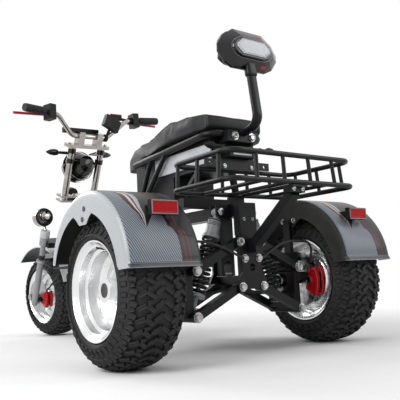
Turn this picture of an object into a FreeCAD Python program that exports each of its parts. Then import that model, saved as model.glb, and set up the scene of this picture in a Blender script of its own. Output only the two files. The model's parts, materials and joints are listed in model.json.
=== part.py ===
# Motorized trike: one steered front wheel, two rear wheels on double arms,
# a saddle with a backrest and a wire basket behind it.
#
# Row frame: millimetres, +Z up, the front of the machine towards -Y, the rider's
# left hand towards +X. The origin lies on the floor, midway along and across.
# Places along Y are counted from the rear axle; at(x, y, z) turns them into the row frame.
# The steered parts are built straight ahead and are then turned by REST_ANGLE about
# the raked steering axis, as the photograph shows them.

import FreeCAD, Part
import os
import math
import Sketcher

Vec = FreeCAD.Vector

RAKE_ANGLE = 23.67
REST_ANGLE = 8.2
SPRING_TURNS = 12

DIMENSIONS = (
    # Whole machine
    ("rear_axle_back", 642.0),
    ("wheelbase", 1420.0),
    ("track", 820.0),
    ("rear_axle_rise", 224.0),
    ("front_axle_rise", 202.85),
    ("seat_gap", 0.3),
    ("overrun", 2.0),
    ("least_run", 0.02),
    ("weld_bite", 3.0),
    # Rear wheels
    ("rear_tyre_radius", 224.0),
    ("rear_tyre_half", 106.0),
    ("rear_lip_radius", 142.0),
    ("rear_rim_half", 94.0),
    ("rear_bead_radius", 127.0),
    ("rear_hub_reach", 60.0),
    ("rear_disc_radius", 96.0),
    ("rear_disc_place", 104.0),
    # Front wheel
    ("front_tyre_radius", 200.0),
    ("front_tyre_half", 80.0),
    ("front_lip_radius", 139.0),
    ("front_rim_half", 66.0),
    ("front_bead_radius", 126.0),
    ("front_hub_reach", 76.0),
    ("front_disc_radius", 82.0),
    ("front_disc_place", 86.0),
    # Shared wheel sizes
    ("rim_flange", 12.0),
    ("tyre_wall", 13.0),
    ("disc_thickness", 4.0),
    ("disc_eye_radius", 20.0),
    ("axle_radius", 15.0),
    ("axle_play", 0.3),
    ("hub_boss_radius", 44.0),
    ("hub_nose_radius", 36.0),
    ("hub_cap_radius", 21.0),
    ("hub_cap_depth", 4.0),
    # Suspension
    ("leg_rear_y", 80.0),
    ("leg_front_y", -40.0),
    ("arm_tube", 25.0),
    ("upper_inner_x", 44.0),
    ("upper_inner_z", 352.0),
    ("upper_outer_z", 267.0),
    ("lower_inner_x", 44.0),
    ("lower_inner_z", 212.0),
    ("lower_outer_in", 21.0),
    ("lower_outer_z", 131.0),
    ("boss_radius", 15.0),
    ("brace_radius", 10.0),
    ("knuckle_wide", 25.0),
    ("knuckle_room", 66.0),
    ("knuckle_top_z", 318.0),
    ("axle_nut_radius", 19.0),
    ("axle_nut_deep", 18.0),
    ("shock_top_x", 68.0),
    ("shock_top_z", 452.0),
    ("shock_y", 20.0),
    ("shock_body_radius", 22.0),
    ("shock_rod_radius", 8.0),
    ("shock_eye_half", 12.0),
    ("spring_radius", 23.0),
    ("spring_wire", 4.5),
    ("shock_ear", 5.0),
    ("shock_ear_reach", 84.0),
    ("caliper_wide", 36.0),
    ("caliper_long", 64.0),
    ("caliper_high", 100.0),
    ("caliper_y", 78.0),
    # Central frame
    ("rail_half", 25.0),
    ("top_rail_z", 438.0),
    ("top_rail_deep", 40.0),
    ("low_rail_z", 220.0),
    ("low_rail_deep", 28.0),
    ("rail_front_y", -400.0),
    ("upright_deep", 40.0),
    ("column_half", 28.0),
    ("column_head_half", 34.0),
    ("column_deep", 32.0),
    ("column_plate", 8.0),
    ("column_foot_z", 204.0),
    ("plate_half", 58.0),
    ("plate_waist", 40.0),
    ("plate_foot_z", 194.0),
    ("plate_top_z", 372.0),
    ("plate_lobe", 38.0),
    ("plate_bevel", 26.0),
    ("plate_eye_radius", 12.0),
    ("plate_eye_z", 272.0),
    ("plate_notch_half", 26.0),
    ("plate_notch_z", 204.0),
    ("plate_low_ear_z", 232.0),
    ("plate_low_waist_z", 259.0),
    ("front_plate_half", 37.0),
    ("front_ear_half", 54.0),
    ("front_slot_half", 16.0),
    ("front_slot_low_z", 247.0),
    ("front_slot_top_z", 297.0),
    ("cross_y", -105.0),
    ("cross_half", 130.0),
    ("cross_rise", 33.0),
    ("cross_deep", 30.0),
    # Deck, neck and battery
    ("deck_rail_x", 100.0),
    ("deck_tube", 36.0),
    ("deck_z", 280.0),
    ("deck_front_back", 130.0),
    ("battery_half", 76.0),
    ("battery_foot_z", 192.0),
    ("battery_long", 470.0),
    ("floor_half", 185.0),
    ("floor_thick", 8.0),
    ("floor_front_back", 110.0),
    ("floor_rear_y", -560.0),
    ("neck_radius", 26.0),
    ("head_radius", 28.0),
    ("head_top_s", -38.0),
    ("head_low_s", -224.0),
    # Steering
    ("axis_behind", 290.0),
    ("axis_z", 671.0),
    ("stem_radius", 14.0),
    ("riser_x", 80.0),
    ("riser_radius", 15.5),
    ("riser_top_s", 232.0),
    ("mid_clamp_s", -30.0),
    ("mid_plate_thick", 9.0),
    ("mid_plate_space", 13.0),
    ("clamp_end", 30.0),
    ("clamp_reach", 24.0),
    ("top_clamp_thick", 16.0),
    ("fork_x", 137.0),
    ("fork_ahead", 27.0),
    ("cap_top_s", -184.0),
    ("cap_low_s", -231.0),
    ("cap_radius", 21.0),
    ("stanchion_radius", 12.0),
    ("collar_s", -330.0),
    ("collar_radius", 20.0),
    ("collar_deep", 16.0),
    ("slider_radius", 15.0),
    ("slider_low_s", -562.0),
    ("yoke_thick", 26.0),
    ("yoke_deep", 44.0),
    ("yoke_foot_drop", 26.0),
    ("front_axle_radius", 9.0),
    ("front_axle_half", 138.0),
    ("axle_head_radius", 14.0),
    ("axle_lug_inner", 108.0),
    ("axle_lug_thick", 22.0),
    ("axle_lug_radius", 18.0),
    ("axle_lug_wide", 29.0),
    ("front_caliper_wide", 34.0),
    ("front_caliper_long", 72.0),
    ("front_caliper_high", 62.0),
    ("front_caliper_back", 78.0),
    ("front_caliper_z", 186.0),
    # Handlebar and what it carries
    ("bar_radius", 11.0),
    ("bar_bend", 60.0),
    ("bar_mid_x", 96.0),
    ("bar_mid_back", 120.0),
    ("bar_mid_z", 932.0),
    ("bar_knee_x", 192.0),
    ("bar_knee_back", 165.0),
    ("bar_knee_z", 1014.0),
    ("bar_end_x", 358.0),
    ("bar_end_back", 188.0),
    ("bar_end_z", 1022.0),
    ("bar_clamp_x", 50.0),
    ("bar_clamp_wide", 30.0),
    ("bar_clamp_rise", 20.0),
    ("bar_clamp_half", 20.0),
    ("dash_foot_gap", 3.1),
    ("grip_radius", 17.0),
    ("grip_start_x", 262.0),
    ("grip_end_x", 366.0),
    ("switch_start_x", 218.0),
    ("switch_end_x", 250.0),
    ("switch_half", 25.0),
    ("switch_rise", 34.0),
    ("lever_root_x", 232.0),
    ("lever_tip_x", 392.0),
    ("lever_ahead", 44.0),
    ("lever_drop", 16.0),
    ("lever_radius", 6.0),
    ("lever_reach", 52.0),
    ("lever_root_wider", 3.0),
    ("display_x", -106.0),
    ("display_back", 158.0),
    ("display_z", 995.0),
    ("display_wide", 86.0),
    ("display_high", 59.0),
    ("display_deep", 24.0),
    ("stalk_radius", 7.0),
    ("reservoir_x", -152.0),
    ("reservoir_back", 128.0),
    ("reservoir_z", 1034.0),
    ("reservoir_wide", 62.0),
    ("reservoir_deep", 30.0),
    ("reservoir_high", 24.0),
    ("dash_low_x", -76.0),
    ("dash_high_x", 119.0),
    ("dash_back", 84.0),
    ("dash_deep", 14.0),
    ("dash_z", 965.0),
    ("dash_high", 24.0),
    # Headlamp, signals, spot lamps and horn
    ("headlamp_behind", 18.0),
    ("headlamp_z", 808.0),
    ("headlamp_radius", 67.0),
    ("headlamp_back", 86.0),
    ("headlamp_front", 40.0),
    ("bezel_radius", 73.0),
    ("bezel_deep", 12.0),
    ("bezel_step", 3.0),
    ("lens_step", 3.3),
    ("lens_dome", 10.0),
    ("bracket_thick", 8.0),
    ("bracket_high", 34.0),
    ("bracket_drop", 48.0),
    ("bracket_collar_high", 22.0),
    ("front_signal_back", 30.0),
    ("front_signal_z", 868.0),
    ("front_signal_x", 118.0),
    ("front_signal_tip", 182.0),
    ("front_signal_radius", 16.0),
    ("spot_back_y", -110.0),
    ("spot_z", 578.0),
    ("spot_radius", 42.0),
    ("spot_back", 36.0),
    ("spot_front", 30.0),
    ("horn_radius", 33.0),
    ("horn_x", 3.0),
    ("horn_ahead", 58.0),
    ("horn_s", 16.0),
    # Front fender
    ("front_fender_radius", 245.0),
    ("front_fender_half", 84.0),
    ("fender_skin", 3.0),
    ("front_fender_lip", 5.0),
    # Rear fenders
    ("fender_room", 16.0),
    ("fender_centre_y", -5.0),
    ("fender_centre_z", 268.0),
    ("fender_side_outer", 8.5),
    ("fender_side_inner", 14.0),
    ("fender_front_z", 308.0),
    ("fender_rear_z", 290.0),
    ("flange_radius", 200.0),
    ("flange_centre_y", -20.0),
    ("flange_centre_z", 247.0),
    ("tab_half_top", 60.0),
    ("tab_half_low", 27.0),
    ("tab_y", -20.0),
    ("tab_low_z", 409.0),
    ("tab_top_z", 452.0),
    ("fender_arm", 14.0),
    ("fender_arm_half", 16.0),
    # Lamps at the rear
    ("tail_lamp_inset", 16.0),
    ("tail_lamp_half", 43.0),
    ("tail_lamp_z", 438.0),
    ("tail_lamp_high", 40.0),
    ("tail_lamp_in", 23.0),
    ("tail_lamp_deep", 18.0),
    ("tail_lens_edge", 5.0),
    ("tail_lens_thick", 3.0),
    ("tail_stay_half", 26.0),
    ("tail_stay_high", 22.0),
    # Basket
    ("basket_tube", 8.0),
    ("basket_post", 6.0),
    ("rim_ring_half", 248.0),
    ("rim_ring_front_y", 37.0),
    ("rim_ring_rear_y", 319.5),
    ("rim_ring_z", 589.0),
    ("base_ring_half", 254.5),
    ("base_ring_front_y", 37.0),
    ("base_ring_rear_y", 324.5),
    ("base_ring_z", 508.5),
    ("ring_corner", 40.0),
    ("strut_half", 15.0),
    ("strut_foot", 45.0),
    ("strut_room", 60.0),
    ("strut_top_y", 306.0),
    ("strut_top_z", 482.0),
    ("strut_low_y", 108.0),
    ("strut_low_z", 332.0),
    ("strut_plate", 6.0),
    ("strut_plate_half", 30.0),
    # Cross plate, rear lamp and rear signals
    ("cross_plate_y", 54.0),
    ("cross_plate_thick", 6.0),
    ("cross_plate_half", 75.0),
    ("cross_plate_low_z", 588.0),
    ("cross_plate_top_z", 626.0),
    ("cross_ear_half", 136.0),
    ("cross_ear_x", 115.0),
    ("cross_ear_z", 607.0),
    ("cross_ear_high", 26.0),
    ("cross_ear_hole", 5.5),
    ("rear_lamp_half", 52.0),
    ("rear_lamp_low_z", 628.0),
    ("rear_lamp_high", 26.0),
    ("rear_lamp_y", 85.0),
    ("rear_signal_y", 80.0),
    ("rear_signal_z", 658.0),
    ("rear_signal_root", 84.0),
    ("rear_signal_start", 108.0),
    ("rear_signal_tip", 150.0),
    ("rear_signal_radius", 12.0),
    ("rear_signal_stay", 6.0),
    # Seat
    ("seat_rear_y", 66.0),
    ("seat_nose_y", -540.0),
    ("seat_half", 138.0),
    ("seat_foot_z", 664.0),
    ("seat_high", 118.0),
    ("seat_base_half", 92.0),
    ("ring_x", 112.0),
    ("ring_tube", 12.5),
    ("ring_nose_y", -405.0),
    ("ring_nose_z", 677.0),
    ("ring_back_y", 60.0),
    ("ring_back_z", 705.0),
    ("ring_bend", 45.0),
    ("ring_stay_radius", 9.0),
    ("box_half", 88.0),
    ("box_front_y", -440.0),
    ("seat_base_high", 24.0),
    ("box_rear_y", 36.0),
    ("box_top_z", 676.0),
    ("box_step_z", 600.0),
    ("box_step_y", -190.0),
    ("box_strut", 18.0),
    ("box_strut_head_y", -60.0),
    ("side_panel_thick", 6.0),
    ("side_panel_front_y", -297.0),
    ("side_panel_low_z", 615.0),
    # Backrest
    ("rest_clamp_half", 64.0),
    ("rest_clamp_y", 62.0),
    ("rest_clamp_deep", 33.0),
    ("rest_clamp_top_z", 712.4),
    ("rest_strap_thick", 5.0),
    ("post_half", 19.0),
    ("post_thick", 11.0),
    ("post_root_z", 704.0),
    ("post_back_y", 172.0),
    ("post_back_z", 719.0),
    ("post_top_y", 148.0),
    ("post_top_z", 905.0),
    ("post_bend", 40.0),
    ("shell_half", 115.0),
    ("shell_low_z", 879.0),
    ("shell_high", 171.0),
    ("shell_thick", 26.0),
    ("shell_y", 158.0),
    ("insert_half", 70.0),
    ("insert_high", 72.0),
    ("insert_thick", 4.0),
    ("cushion_thick", 38.0),
    # Cables
    ("hose_radius", 4.0),
    ("cable_radius", 6.0),
)


class Size:
    """A size in millimetres with the sheet expression that gives it."""

    def __init__(self, value, text):
        self.value = value
        self.text = text

    def join(self, other, sign, value):
        text = other.text if isinstance(other, Size) else repr(other)
        return Size(value, "(" + self.text + " " + sign + " " + text + ")")

    def __add__(self, other):
        return self.join(other, "+", self.value + number(other))

    def __sub__(self, other):
        return self.join(other, "-", self.value - number(other))

    def __mul__(self, other):
        return self.join(other, "*", self.value * number(other))

    def __truediv__(self, other):
        return self.join(other, "/", self.value / number(other))

    def __neg__(self):
        return Size(-self.value, "(0 - " + self.text + ")")

    def __float__(self):
        return float(self.value)


def number(size):
    """The plain number of a size, or of a number."""
    return size.value if isinstance(size, Size) else float(size)


class Sheet:
    """The driving dimensions, each an aliased cell."""

    def __init__(self, document):
        self.page = document.addObject("Spreadsheet::Sheet", "Dimensions")
        for row, (alias, value) in enumerate(DIMENSIONS, start=1):
            self.page.set("A%d" % row, alias)
            self.page.set("B%d" % row, repr(value))
            self.page.setAlias("B%d" % row, alias)
            setattr(self, alias, Size(value, "Dimensions." + alias))


doc = FreeCAD.newDocument("trike")
d = Sheet(doc)
doc.recompute()

# Places that follow from the wheels and the steering axis

d.axis_y = d.axis_behind - d.wheelbase
d.front_caliper_y = d.front_caliper_back - d.wheelbase
d.bar_mid_y = d.axis_y + d.bar_mid_back
d.bar_knee_y = d.axis_y + d.bar_knee_back
d.bar_end_y = d.axis_y + d.bar_end_back
d.display_y = d.axis_y + d.display_back
d.reservoir_y = d.axis_y + d.reservoir_back
d.dash_y = d.axis_y + d.dash_back
d.headlamp_y = d.axis_y + d.headlamp_behind
d.front_signal_y = d.axis_y + d.front_signal_back
d.spot_y = d.axis_y + d.spot_back_y
d.deck_front_y = d.axis_y + d.deck_front_back
d.floor_front_y = d.axis_y + d.floor_front_back
d.knuckle_outer_x = d.track / 2 - d.rear_disc_place - d.disc_thickness - d.knuckle_room
d.knuckle_inner_x = d.knuckle_outer_x - d.knuckle_wide
d.upper_outer_x = d.knuckle_inner_x
d.lower_outer_x = d.knuckle_outer_x - d.lower_outer_in
d.axle_nut_x = d.knuckle_inner_x - d.axle_nut_deep
d.fender_outer_x = d.track / 2 + d.rear_tyre_half + d.fender_side_outer
d.fender_inner_x = d.track / 2 - d.rear_tyre_half - d.fender_side_inner
d.fender_radius = d.rear_tyre_radius + d.fender_room
d.tail_lamp_y = d.fender_centre_y + d.fender_radius - d.tail_lamp_in
d.tail_lamp_x = d.track / 2 - d.tail_lamp_inset

SIDES = ((1, "left"), (-1, "right"))
nodes = {}
ALONG_X = FreeCAD.Rotation(Vec(0, 0, 1), Vec(1, 0, 0))
ALONG_Y = FreeCAD.Rotation(Vec(0, 0, 1), Vec(0, 1, 0))
UPRIGHT = FreeCAD.Rotation()
RAKE = math.radians(RAKE_ANGLE)


def at(x, y, z):
    """A point whose y is counted from the rear axle."""
    return Vec(number(x), number(d.rear_axle_back) + number(y), number(z))


def on_axis(s, x=0, ahead=0):
    """A point at distance s up the steering axis, x to the left and ahead of it."""
    up = Vec(0, math.sin(RAKE), math.cos(RAKE))
    fore = Vec(0, -math.cos(RAKE), math.sin(RAKE))
    start = at(0, d.axis_y, d.axis_z)
    return start + up * number(s) + fore * number(ahead) + Vec(number(x), 0, 0)


def rake_rotation():
    """Turns local Z onto the steering axis, with local Y pointing back."""
    return FreeCAD.Rotation(Vec(1, 0, 0), -RAKE_ANGLE)


def node(label, piece, steered=False):
    """Names a finished sub-part, and turns it if it steers."""
    if steered:
        start = at(0, d.axis_y, d.axis_z)
        axis = Vec(0, math.sin(RAKE), math.cos(RAKE))
        turn = FreeCAD.Rotation(axis, REST_ANGLE)
        place = FreeCAD.Placement(Vec(0, 0, 0), turn, start)
        piece.Placement = place.multiply(piece.Placement)
    piece.Label = label
    nodes[label] = piece
    return piece


def bind(piece, name, size):
    """Sets a property and ties it to the sheet."""
    setattr(piece, name, number(size))
    if isinstance(size, Size):
        piece.setExpression(name, size.text)


def box(name, wide, deep, high, corner, turn=UPRIGHT):
    """A block from its low corner."""
    piece = doc.addObject("Part::Box", name)
    bind(piece, "Length", wide)
    bind(piece, "Width", deep)
    bind(piece, "Height", high)
    piece.Placement = FreeCAD.Placement(corner, turn)
    return piece


def centred_box(name, wide, deep, high, centre, turn=UPRIGHT):
    """A block about its centre."""
    half = Vec(number(wide) / 2, number(deep) / 2, number(high) / 2)
    corner = centre - turn.multVec(half)
    return box(name, wide, deep, high, corner, turn)


def rod(name, start, end, radius):
    """A round bar between two points."""
    piece = doc.addObject("Part::Cylinder", name)
    bind(piece, "Radius", radius)
    piece.Height = start.distanceToPoint(end)
    turn = FreeCAD.Rotation(Vec(0, 0, 1), end - start)
    piece.Placement = FreeCAD.Placement(start, turn)
    return piece


def bar(name, start, end, wide, thick):
    """A square tube or flat bar between two points; wide lies along Y where it can."""
    run = end - start
    piece = doc.addObject("Part::Box", name)
    bind(piece, "Length", wide)
    bind(piece, "Width", thick)
    piece.Height = run.Length
    side = Vec(0, 1, 0) if abs(run.y) < abs(run.x) + abs(run.z) else Vec(1, 0, 0)
    turn = FreeCAD.Rotation(side, Vec(0, 0, 0), run, "ZXY")
    shift = turn.multVec(Vec(-number(wide) / 2, -number(thick) / 2, 0))
    piece.Placement = FreeCAD.Placement(start + shift, turn)
    return piece


def fuse(name, pieces):
    """One solid from pieces that meet."""
    piece = doc.addObject("Part::MultiFuse", name)
    piece.Shapes = pieces
    return piece


def cut(name, base, tool):
    """The base without the tool."""
    piece = doc.addObject("Part::Cut", name)
    piece.Base = base
    piece.Tool = tool
    return piece


def group(name, pieces):
    """Like pieces that share a node and don't touch."""
    piece = doc.addObject("Part::Compound", name)
    piece.Links = pieces
    return piece


def feature(name, shape):
    """A sub-part whose shape is made here from the sheet's values."""
    piece = doc.addObject("Part::Feature", name)
    piece.Shape = shape
    return piece


def origin_plane(body, role):
    """One of the body's own origin planes."""
    return [part for part in body.Origin.OriginFeatures if part.Role == role][0]


def closed_sketch(body, name, role, points):
    """A closed outline whose corners are tied to the sheet."""
    sketch = body.newObject("Sketcher::SketchObject", name)
    sketch.AttachmentSupport = [(origin_plane(body, role), "")]
    sketch.MapMode = "FlatFace"
    count = len(points)
    flat = [Vec(number(u), number(v), 0) for u, v in points]
    for index in range(count):
        sketch.addGeometry(Part.LineSegment(flat[index], flat[(index + 1) % count]), False)
    for index in range(count):
        following = (index + 1) % count
        sketch.addConstraint(Sketcher.Constraint("Coincident", index, 2, following, 1))
    for index, (u, v) in enumerate(points):
        for kind, size in (("DistanceX", u), ("DistanceY", v)):
            rule = Sketcher.Constraint(kind, -1, 1, index, 1, number(size))
            place = sketch.addConstraint(rule)
            if isinstance(size, Size):
                sketch.setExpression("Constraints[%d]" % place, size.text)
    return sketch


def revolved(name, points, centre, turn=UPRIGHT, angle=360.0):
    """A body turned about its own X axis from (axial, radial) points."""
    body = doc.addObject("PartDesign::Body", name)
    sketch = closed_sketch(body, name + "_outline", "XY_Plane", points)
    spin = body.newObject("PartDesign::Revolution", name + "_turned")
    spin.Profile = sketch
    spin.ReferenceAxis = (sketch, ["H_Axis"])
    spin.Angle = angle
    sketch.Visibility = False
    body.Placement = FreeCAD.Placement(centre, turn)
    return body


def plate(name, role, points, thick, centre, turn=UPRIGHT):
    """A body padded both ways from an outline on one of its planes."""
    body = doc.addObject("PartDesign::Body", name)
    sketch = closed_sketch(body, name + "_outline", role, points)
    pad = body.newObject("PartDesign::Pad", name + "_pad")
    pad.Profile = sketch
    bind(pad, "Length", thick)
    pad.Midplane = True
    body.Placement = FreeCAD.Placement(centre, turn)
    return body


def tube_path(points, radii):
    """Straight runs joined by tangent arcs."""
    edges = []
    start = points[0]
    for index in range(1, len(points) - 1):
        corner = points[index]
        back = (points[index - 1] - corner).normalize()
        ahead = (points[index + 1] - corner).normalize()
        half = back.getAngle(ahead) / 2
        reach = radii[index - 1] / math.tan(half)
        first = corner + back * reach
        last = corner + ahead * reach
        bisector = (back + ahead).normalize()
        middle = corner + bisector * (radii[index - 1] / math.sin(half) - radii[index - 1])
        if first.distanceToPoint(start) > number(d.least_run):
            edges.append(Part.LineSegment(start, first).toShape())
        edges.append(Part.Arc(first, middle, last).toShape())
        start = last
    edges.append(Part.LineSegment(start, points[-1]).toShape())
    return Part.Wire(edges)


def bent_tube(name, points, radius, bends):
    """A bent round tube along tangent runs and arcs."""
    path = tube_path(points, bends)
    run = (points[1] - points[0]).normalize()
    ring = Part.Wire([Part.makeCircle(number(radius), points[0], run)])
    solid = path.makePipeShell([ring], True, False)
    return feature(name, solid)


def ring_tube(name, half, front_y, rear_y, z, radius, corner):
    """A closed tube round a rectangle with round corners."""
    x0, y0, y1, r = number(half), number(front_y), number(rear_y), number(corner)
    spots = ((0, y0, None), (x0, y0, r), (x0, y1, r), (-x0, y1, r), (-x0, y0, r), (0, y0, None))
    points = [at(x, y, z) for x, y, bend in spots]
    bends = [bend for x, y, bend in spots if bend is not None]
    path = tube_path(points, bends)
    ring = Part.Wire([Part.makeCircle(number(radius), points[0], Vec(1, 0, 0))])
    solid = path.makePipeShell([ring], True, False)
    return feature(name, solid)


def mirrored(name, piece):
    """The same piece on the other side of the mid-plane."""
    twin = doc.addObject("Part::Mirroring", name)
    twin.Source = piece
    twin.Normal = Vec(1, 0, 0)
    twin.Base = Vec(0, 0, 0)
    return twin


def pair(label, piece, steered=False):
    """A node with a piece and its mirror image."""
    twin = mirrored(label + "_twin", piece)
    return node(label, group(label + "_pair", [piece, twin]), steered)


# Wheels

TYRE_SIDE_SHARES = ((0.28, 1.0), (0.47, 0.99), (0.60, 0.964), (0.70, 0.933), (0.79, 0.884), (0.887, 0.817),
                    (0.943, 0.768), (1.0, 0.73), (1.0, 0.70))
TYRE_SIDE_LOW_SHARE = 0.99
TYRE_SHOULDER_SHARE = 0.70
BEAD_ROOM_SHARE = 0.6
TYRE_CROWN_SHARES = ((0.68, 0.83), (0.45, 0.90))
REAR_BARREL_SHARES = ((0.60, 0.894), (0.50, 0.815))
REAR_DISH_SHARES = ((1.0, 0.972), (0.90, 0.915), (0.85, 0.859), (0.64, 0.859), (0.585, 0.789),
                    (0.21, 0.77), (0.05, 0.67), (0.05, 0.60), (0.10, 0.57), (0.10, 0.50),
                    (0.05, 0.47), (0.05, 0.37), (0.12, 0.34), (0.12, 0.27))
REAR_BACK_SHARES = ((0.74, 0.36), (0.68, 0.62), (0.58, 0.68), (0.46, 0.70), (0.50, 0.77),
                    (0.56, 0.79), (0.66, 0.859), (0.85, 0.859), (0.90, 0.915), (1.0, 0.972))
FRONT_BARREL_SHARES = ((0.55, 0.906), (0.40, 0.84))
FRONT_DISH_SHARES = ((1.0, 0.97), (0.88, 0.915), (0.80, 0.86), (0.62, 0.86), (0.50, 0.79),
                     (0.25, 0.77), (0.18, 0.62), (0.26, 0.56), (0.26, 0.40), (0.34, 0.36))


def tyre(name, radius, half, rim_half, lip, bead, centre):
    """A hollow tyre, its tread out to the tips of the lugs."""
    seat = rim_half - d.rim_flange - d.seat_gap
    over = lip + d.seat_gap
    side = [(half * u, radius * r) for u, r in TYRE_SIDE_SHARES]
    side += [(half * TYRE_SIDE_LOW_SHARE, over + d.weld_bite), (rim_half, over), (seat, over)]
    side += [(seat, bead + d.seat_gap)]
    inside = seat - d.tyre_wall
    hollow = [(inside, bead + d.seat_gap), (inside, over + d.tyre_wall * BEAD_ROOM_SHARE),
              (half - d.tyre_wall, radius * TYRE_SHOULDER_SHARE)]
    hollow += [(half * u, radius * r) for u, r in TYRE_CROWN_SHARES]
    right = side + hollow
    left = [(-u, r) for u, r in reversed(right)]
    return revolved(name, right + left, centre)


def flange_points(half, lip, bead):
    """The outside of a rim from its bead seat up over the lip, at the outer end."""
    inside = half - d.rim_flange
    return [(inside, bead), (inside, lip), (half, lip)]


def facing_turn(side):
    """The outer side of a wheel towards its own side of the machine."""
    return UPRIGHT if side > 0 else FreeCAD.Rotation(Vec(0, 0, 1), 180)


def rear_rim(name, centre, side):
    """A deep dished rim with a stepped face, a hub nose and the hub motor's drum."""
    half, lip, bead = d.rear_rim_half, d.rear_lip_radius, d.rear_bead_radius
    reach, back = d.rear_hub_reach, d.rear_disc_place
    bore = d.axle_radius + d.axle_play
    barrel = [(half * u, lip * r) for u, r in REAR_BARREL_SHARES]
    outer = flange_points(half, lip, bead)
    inner = [(-u, r) for u, r in reversed(outer)]
    across = [(-u, r) for u, r in barrel] + list(reversed(barrel))
    dish = [(half * u, lip * r) for u, r in REAR_DISH_SHARES]
    last_u = half * REAR_DISH_SHARES[-1][0]
    deep = reach - d.hub_cap_depth
    nose = [(last_u, d.hub_nose_radius), (reach, d.hub_nose_radius), (reach, d.hub_cap_radius),
            (deep, d.hub_cap_radius), (deep, 0), (last_u, 0), (last_u, bore)]
    core = [(-back, bore), (-back, d.hub_boss_radius), (-half, d.hub_boss_radius)]
    behind = [(-half * u, lip * r) for u, r in REAR_BACK_SHARES]
    points = inner + across + outer + dish + nose + core + behind
    return revolved(name, points, centre, facing_turn(side))


def brake_disc(name, radius, place, centre, side):
    """A flat brake disc beside the rim."""
    far = place + d.disc_thickness
    points = [(place, d.disc_eye_radius), (far, d.disc_eye_radius), (far, radius), (place, radius)]
    return revolved(name, points, centre, facing_turn(side))


def rear_wheels():
    """Two rear wheels, each with tyre, dished rim and disc."""
    for side, word in SIDES:
        centre = at(d.track / 2 * side, 0, d.rear_axle_rise)
        node("rear_tyre_" + word, tyre("rear_tyre_" + word, d.rear_tyre_radius, d.rear_tyre_half,
             d.rear_rim_half, d.rear_lip_radius, d.rear_bead_radius, centre))
        node("rear_rim_" + word, rear_rim("rear_rim_" + word, centre, side))
        node("rear_disc_" + word, brake_disc("rear_disc_" + word, d.rear_disc_radius,
             d.rear_disc_place, centre, -side))


def front_rim(centre):
    """A rim dished alike on both sides, on a hub with a disc seat at the left."""
    half, lip, bead = d.front_rim_half, d.front_lip_radius, d.front_bead_radius
    bore = d.front_axle_radius + d.axle_play
    hub = d.hub_nose_radius
    barrel = [(half * u, lip * r) for u, r in FRONT_BARREL_SHARES]
    outer = flange_points(half, lip, bead)
    inner = [(-u, r) for u, r in reversed(outer)]
    across = [(-u, r) for u, r in barrel] + list(reversed(barrel))
    dish = [(half * u, lip * r) for u, r in FRONT_DISH_SHARES]
    root = half * FRONT_DISH_SHARES[-1][0]
    left = [(root, hub), (d.front_disc_place, hub), (d.front_disc_place, bore)]
    right = [(-d.front_hub_reach, bore), (-d.front_hub_reach, hub), (-root, hub)]
    behind = [(-u, r) for u, r in reversed(dish)]
    return revolved("front_rim", inner + across + outer + dish + left + right + behind, centre)


def front_wheel():
    """The steered wheel with its disc on the left, and its axle."""
    centre = at(0, -d.wheelbase, d.front_axle_rise)
    node("front_tyre", tyre("front_tyre", d.front_tyre_radius, d.front_tyre_half, d.front_rim_half,
         d.front_lip_radius, d.front_bead_radius, centre), True)
    node("front_rim", front_rim(centre), True)
    node("front_disc", brake_disc("front_disc", d.front_disc_radius, d.front_disc_place, centre, 1), True)

    def along(x):
        return at(x, -d.wheelbase, d.front_axle_rise)

    far = d.front_axle_half
    lug = d.axle_lug_inner - d.seat_gap
    outer = d.axle_lug_inner + d.axle_lug_thick + d.seat_gap
    near_left = d.front_disc_place + d.disc_thickness + d.axle_play
    near_right = d.front_hub_reach + d.axle_play
    pieces = [rod("axle_pin", along(-far), along(far), d.front_axle_radius),
              rod("axle_spacer_left", along(near_left), along(lug), d.axle_head_radius),
              rod("axle_spacer_right", along(-lug), along(-near_right), d.axle_head_radius),
              rod("axle_head_left", along(outer), along(far), d.axle_head_radius),
              rod("axle_head_right", along(-far), along(-outer), d.axle_head_radius)]
    node("front_axle", fuse("front_axle", pieces), True)


# Suspension

UPPER_BRACE_SHARE = 0.86
LOWER_BRACE_SHARE = 0.82
SHOCK_SHARES = {"cup": (0.14, 0.17), "collar": (0.73, 0.76), "body": (0.76, 0.92)}


def arm(name, inner_x, inner_z, outer_x, outer_z, brace_share):
    """Two square legs with a boss at each end and a brace between them."""
    pieces = []
    half = d.arm_tube / 2
    for word, y in (("rear", d.leg_rear_y), ("front", d.leg_front_y)):
        pieces.append(bar(name + word, at(inner_x, y, inner_z), at(outer_x, y, outer_z), d.arm_tube, d.arm_tube))
        for tag, x, z in (("in", inner_x, inner_z), ("out", outer_x, outer_z)):
            pieces.append(rod(name + word + tag, at(x, y - half, z), at(x, y + half, z), d.boss_radius))
    x = inner_x + (outer_x - inner_x) * brace_share
    z = inner_z + (outer_z - inner_z) * brace_share
    pieces.append(rod(name + "brace", at(x, d.leg_front_y, z), at(x, d.leg_rear_y, z), d.brace_radius))
    return fuse(name, pieces)


def suspension_arms():
    """Upper and lower arms of both sides."""
    upper = arm("upper_arm", d.upper_inner_x, d.upper_inner_z, d.upper_outer_x, d.upper_outer_z,
                UPPER_BRACE_SHARE)
    lower = arm("lower_arm", d.lower_inner_x, d.lower_inner_z, d.lower_outer_x, d.lower_outer_z,
                LOWER_BRACE_SHARE)
    twins = [mirrored("upper_arm_right", upper), mirrored("lower_arm_right", lower)]
    node("suspension_arms", group("suspension_arms", [upper, lower] + twins))


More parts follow.
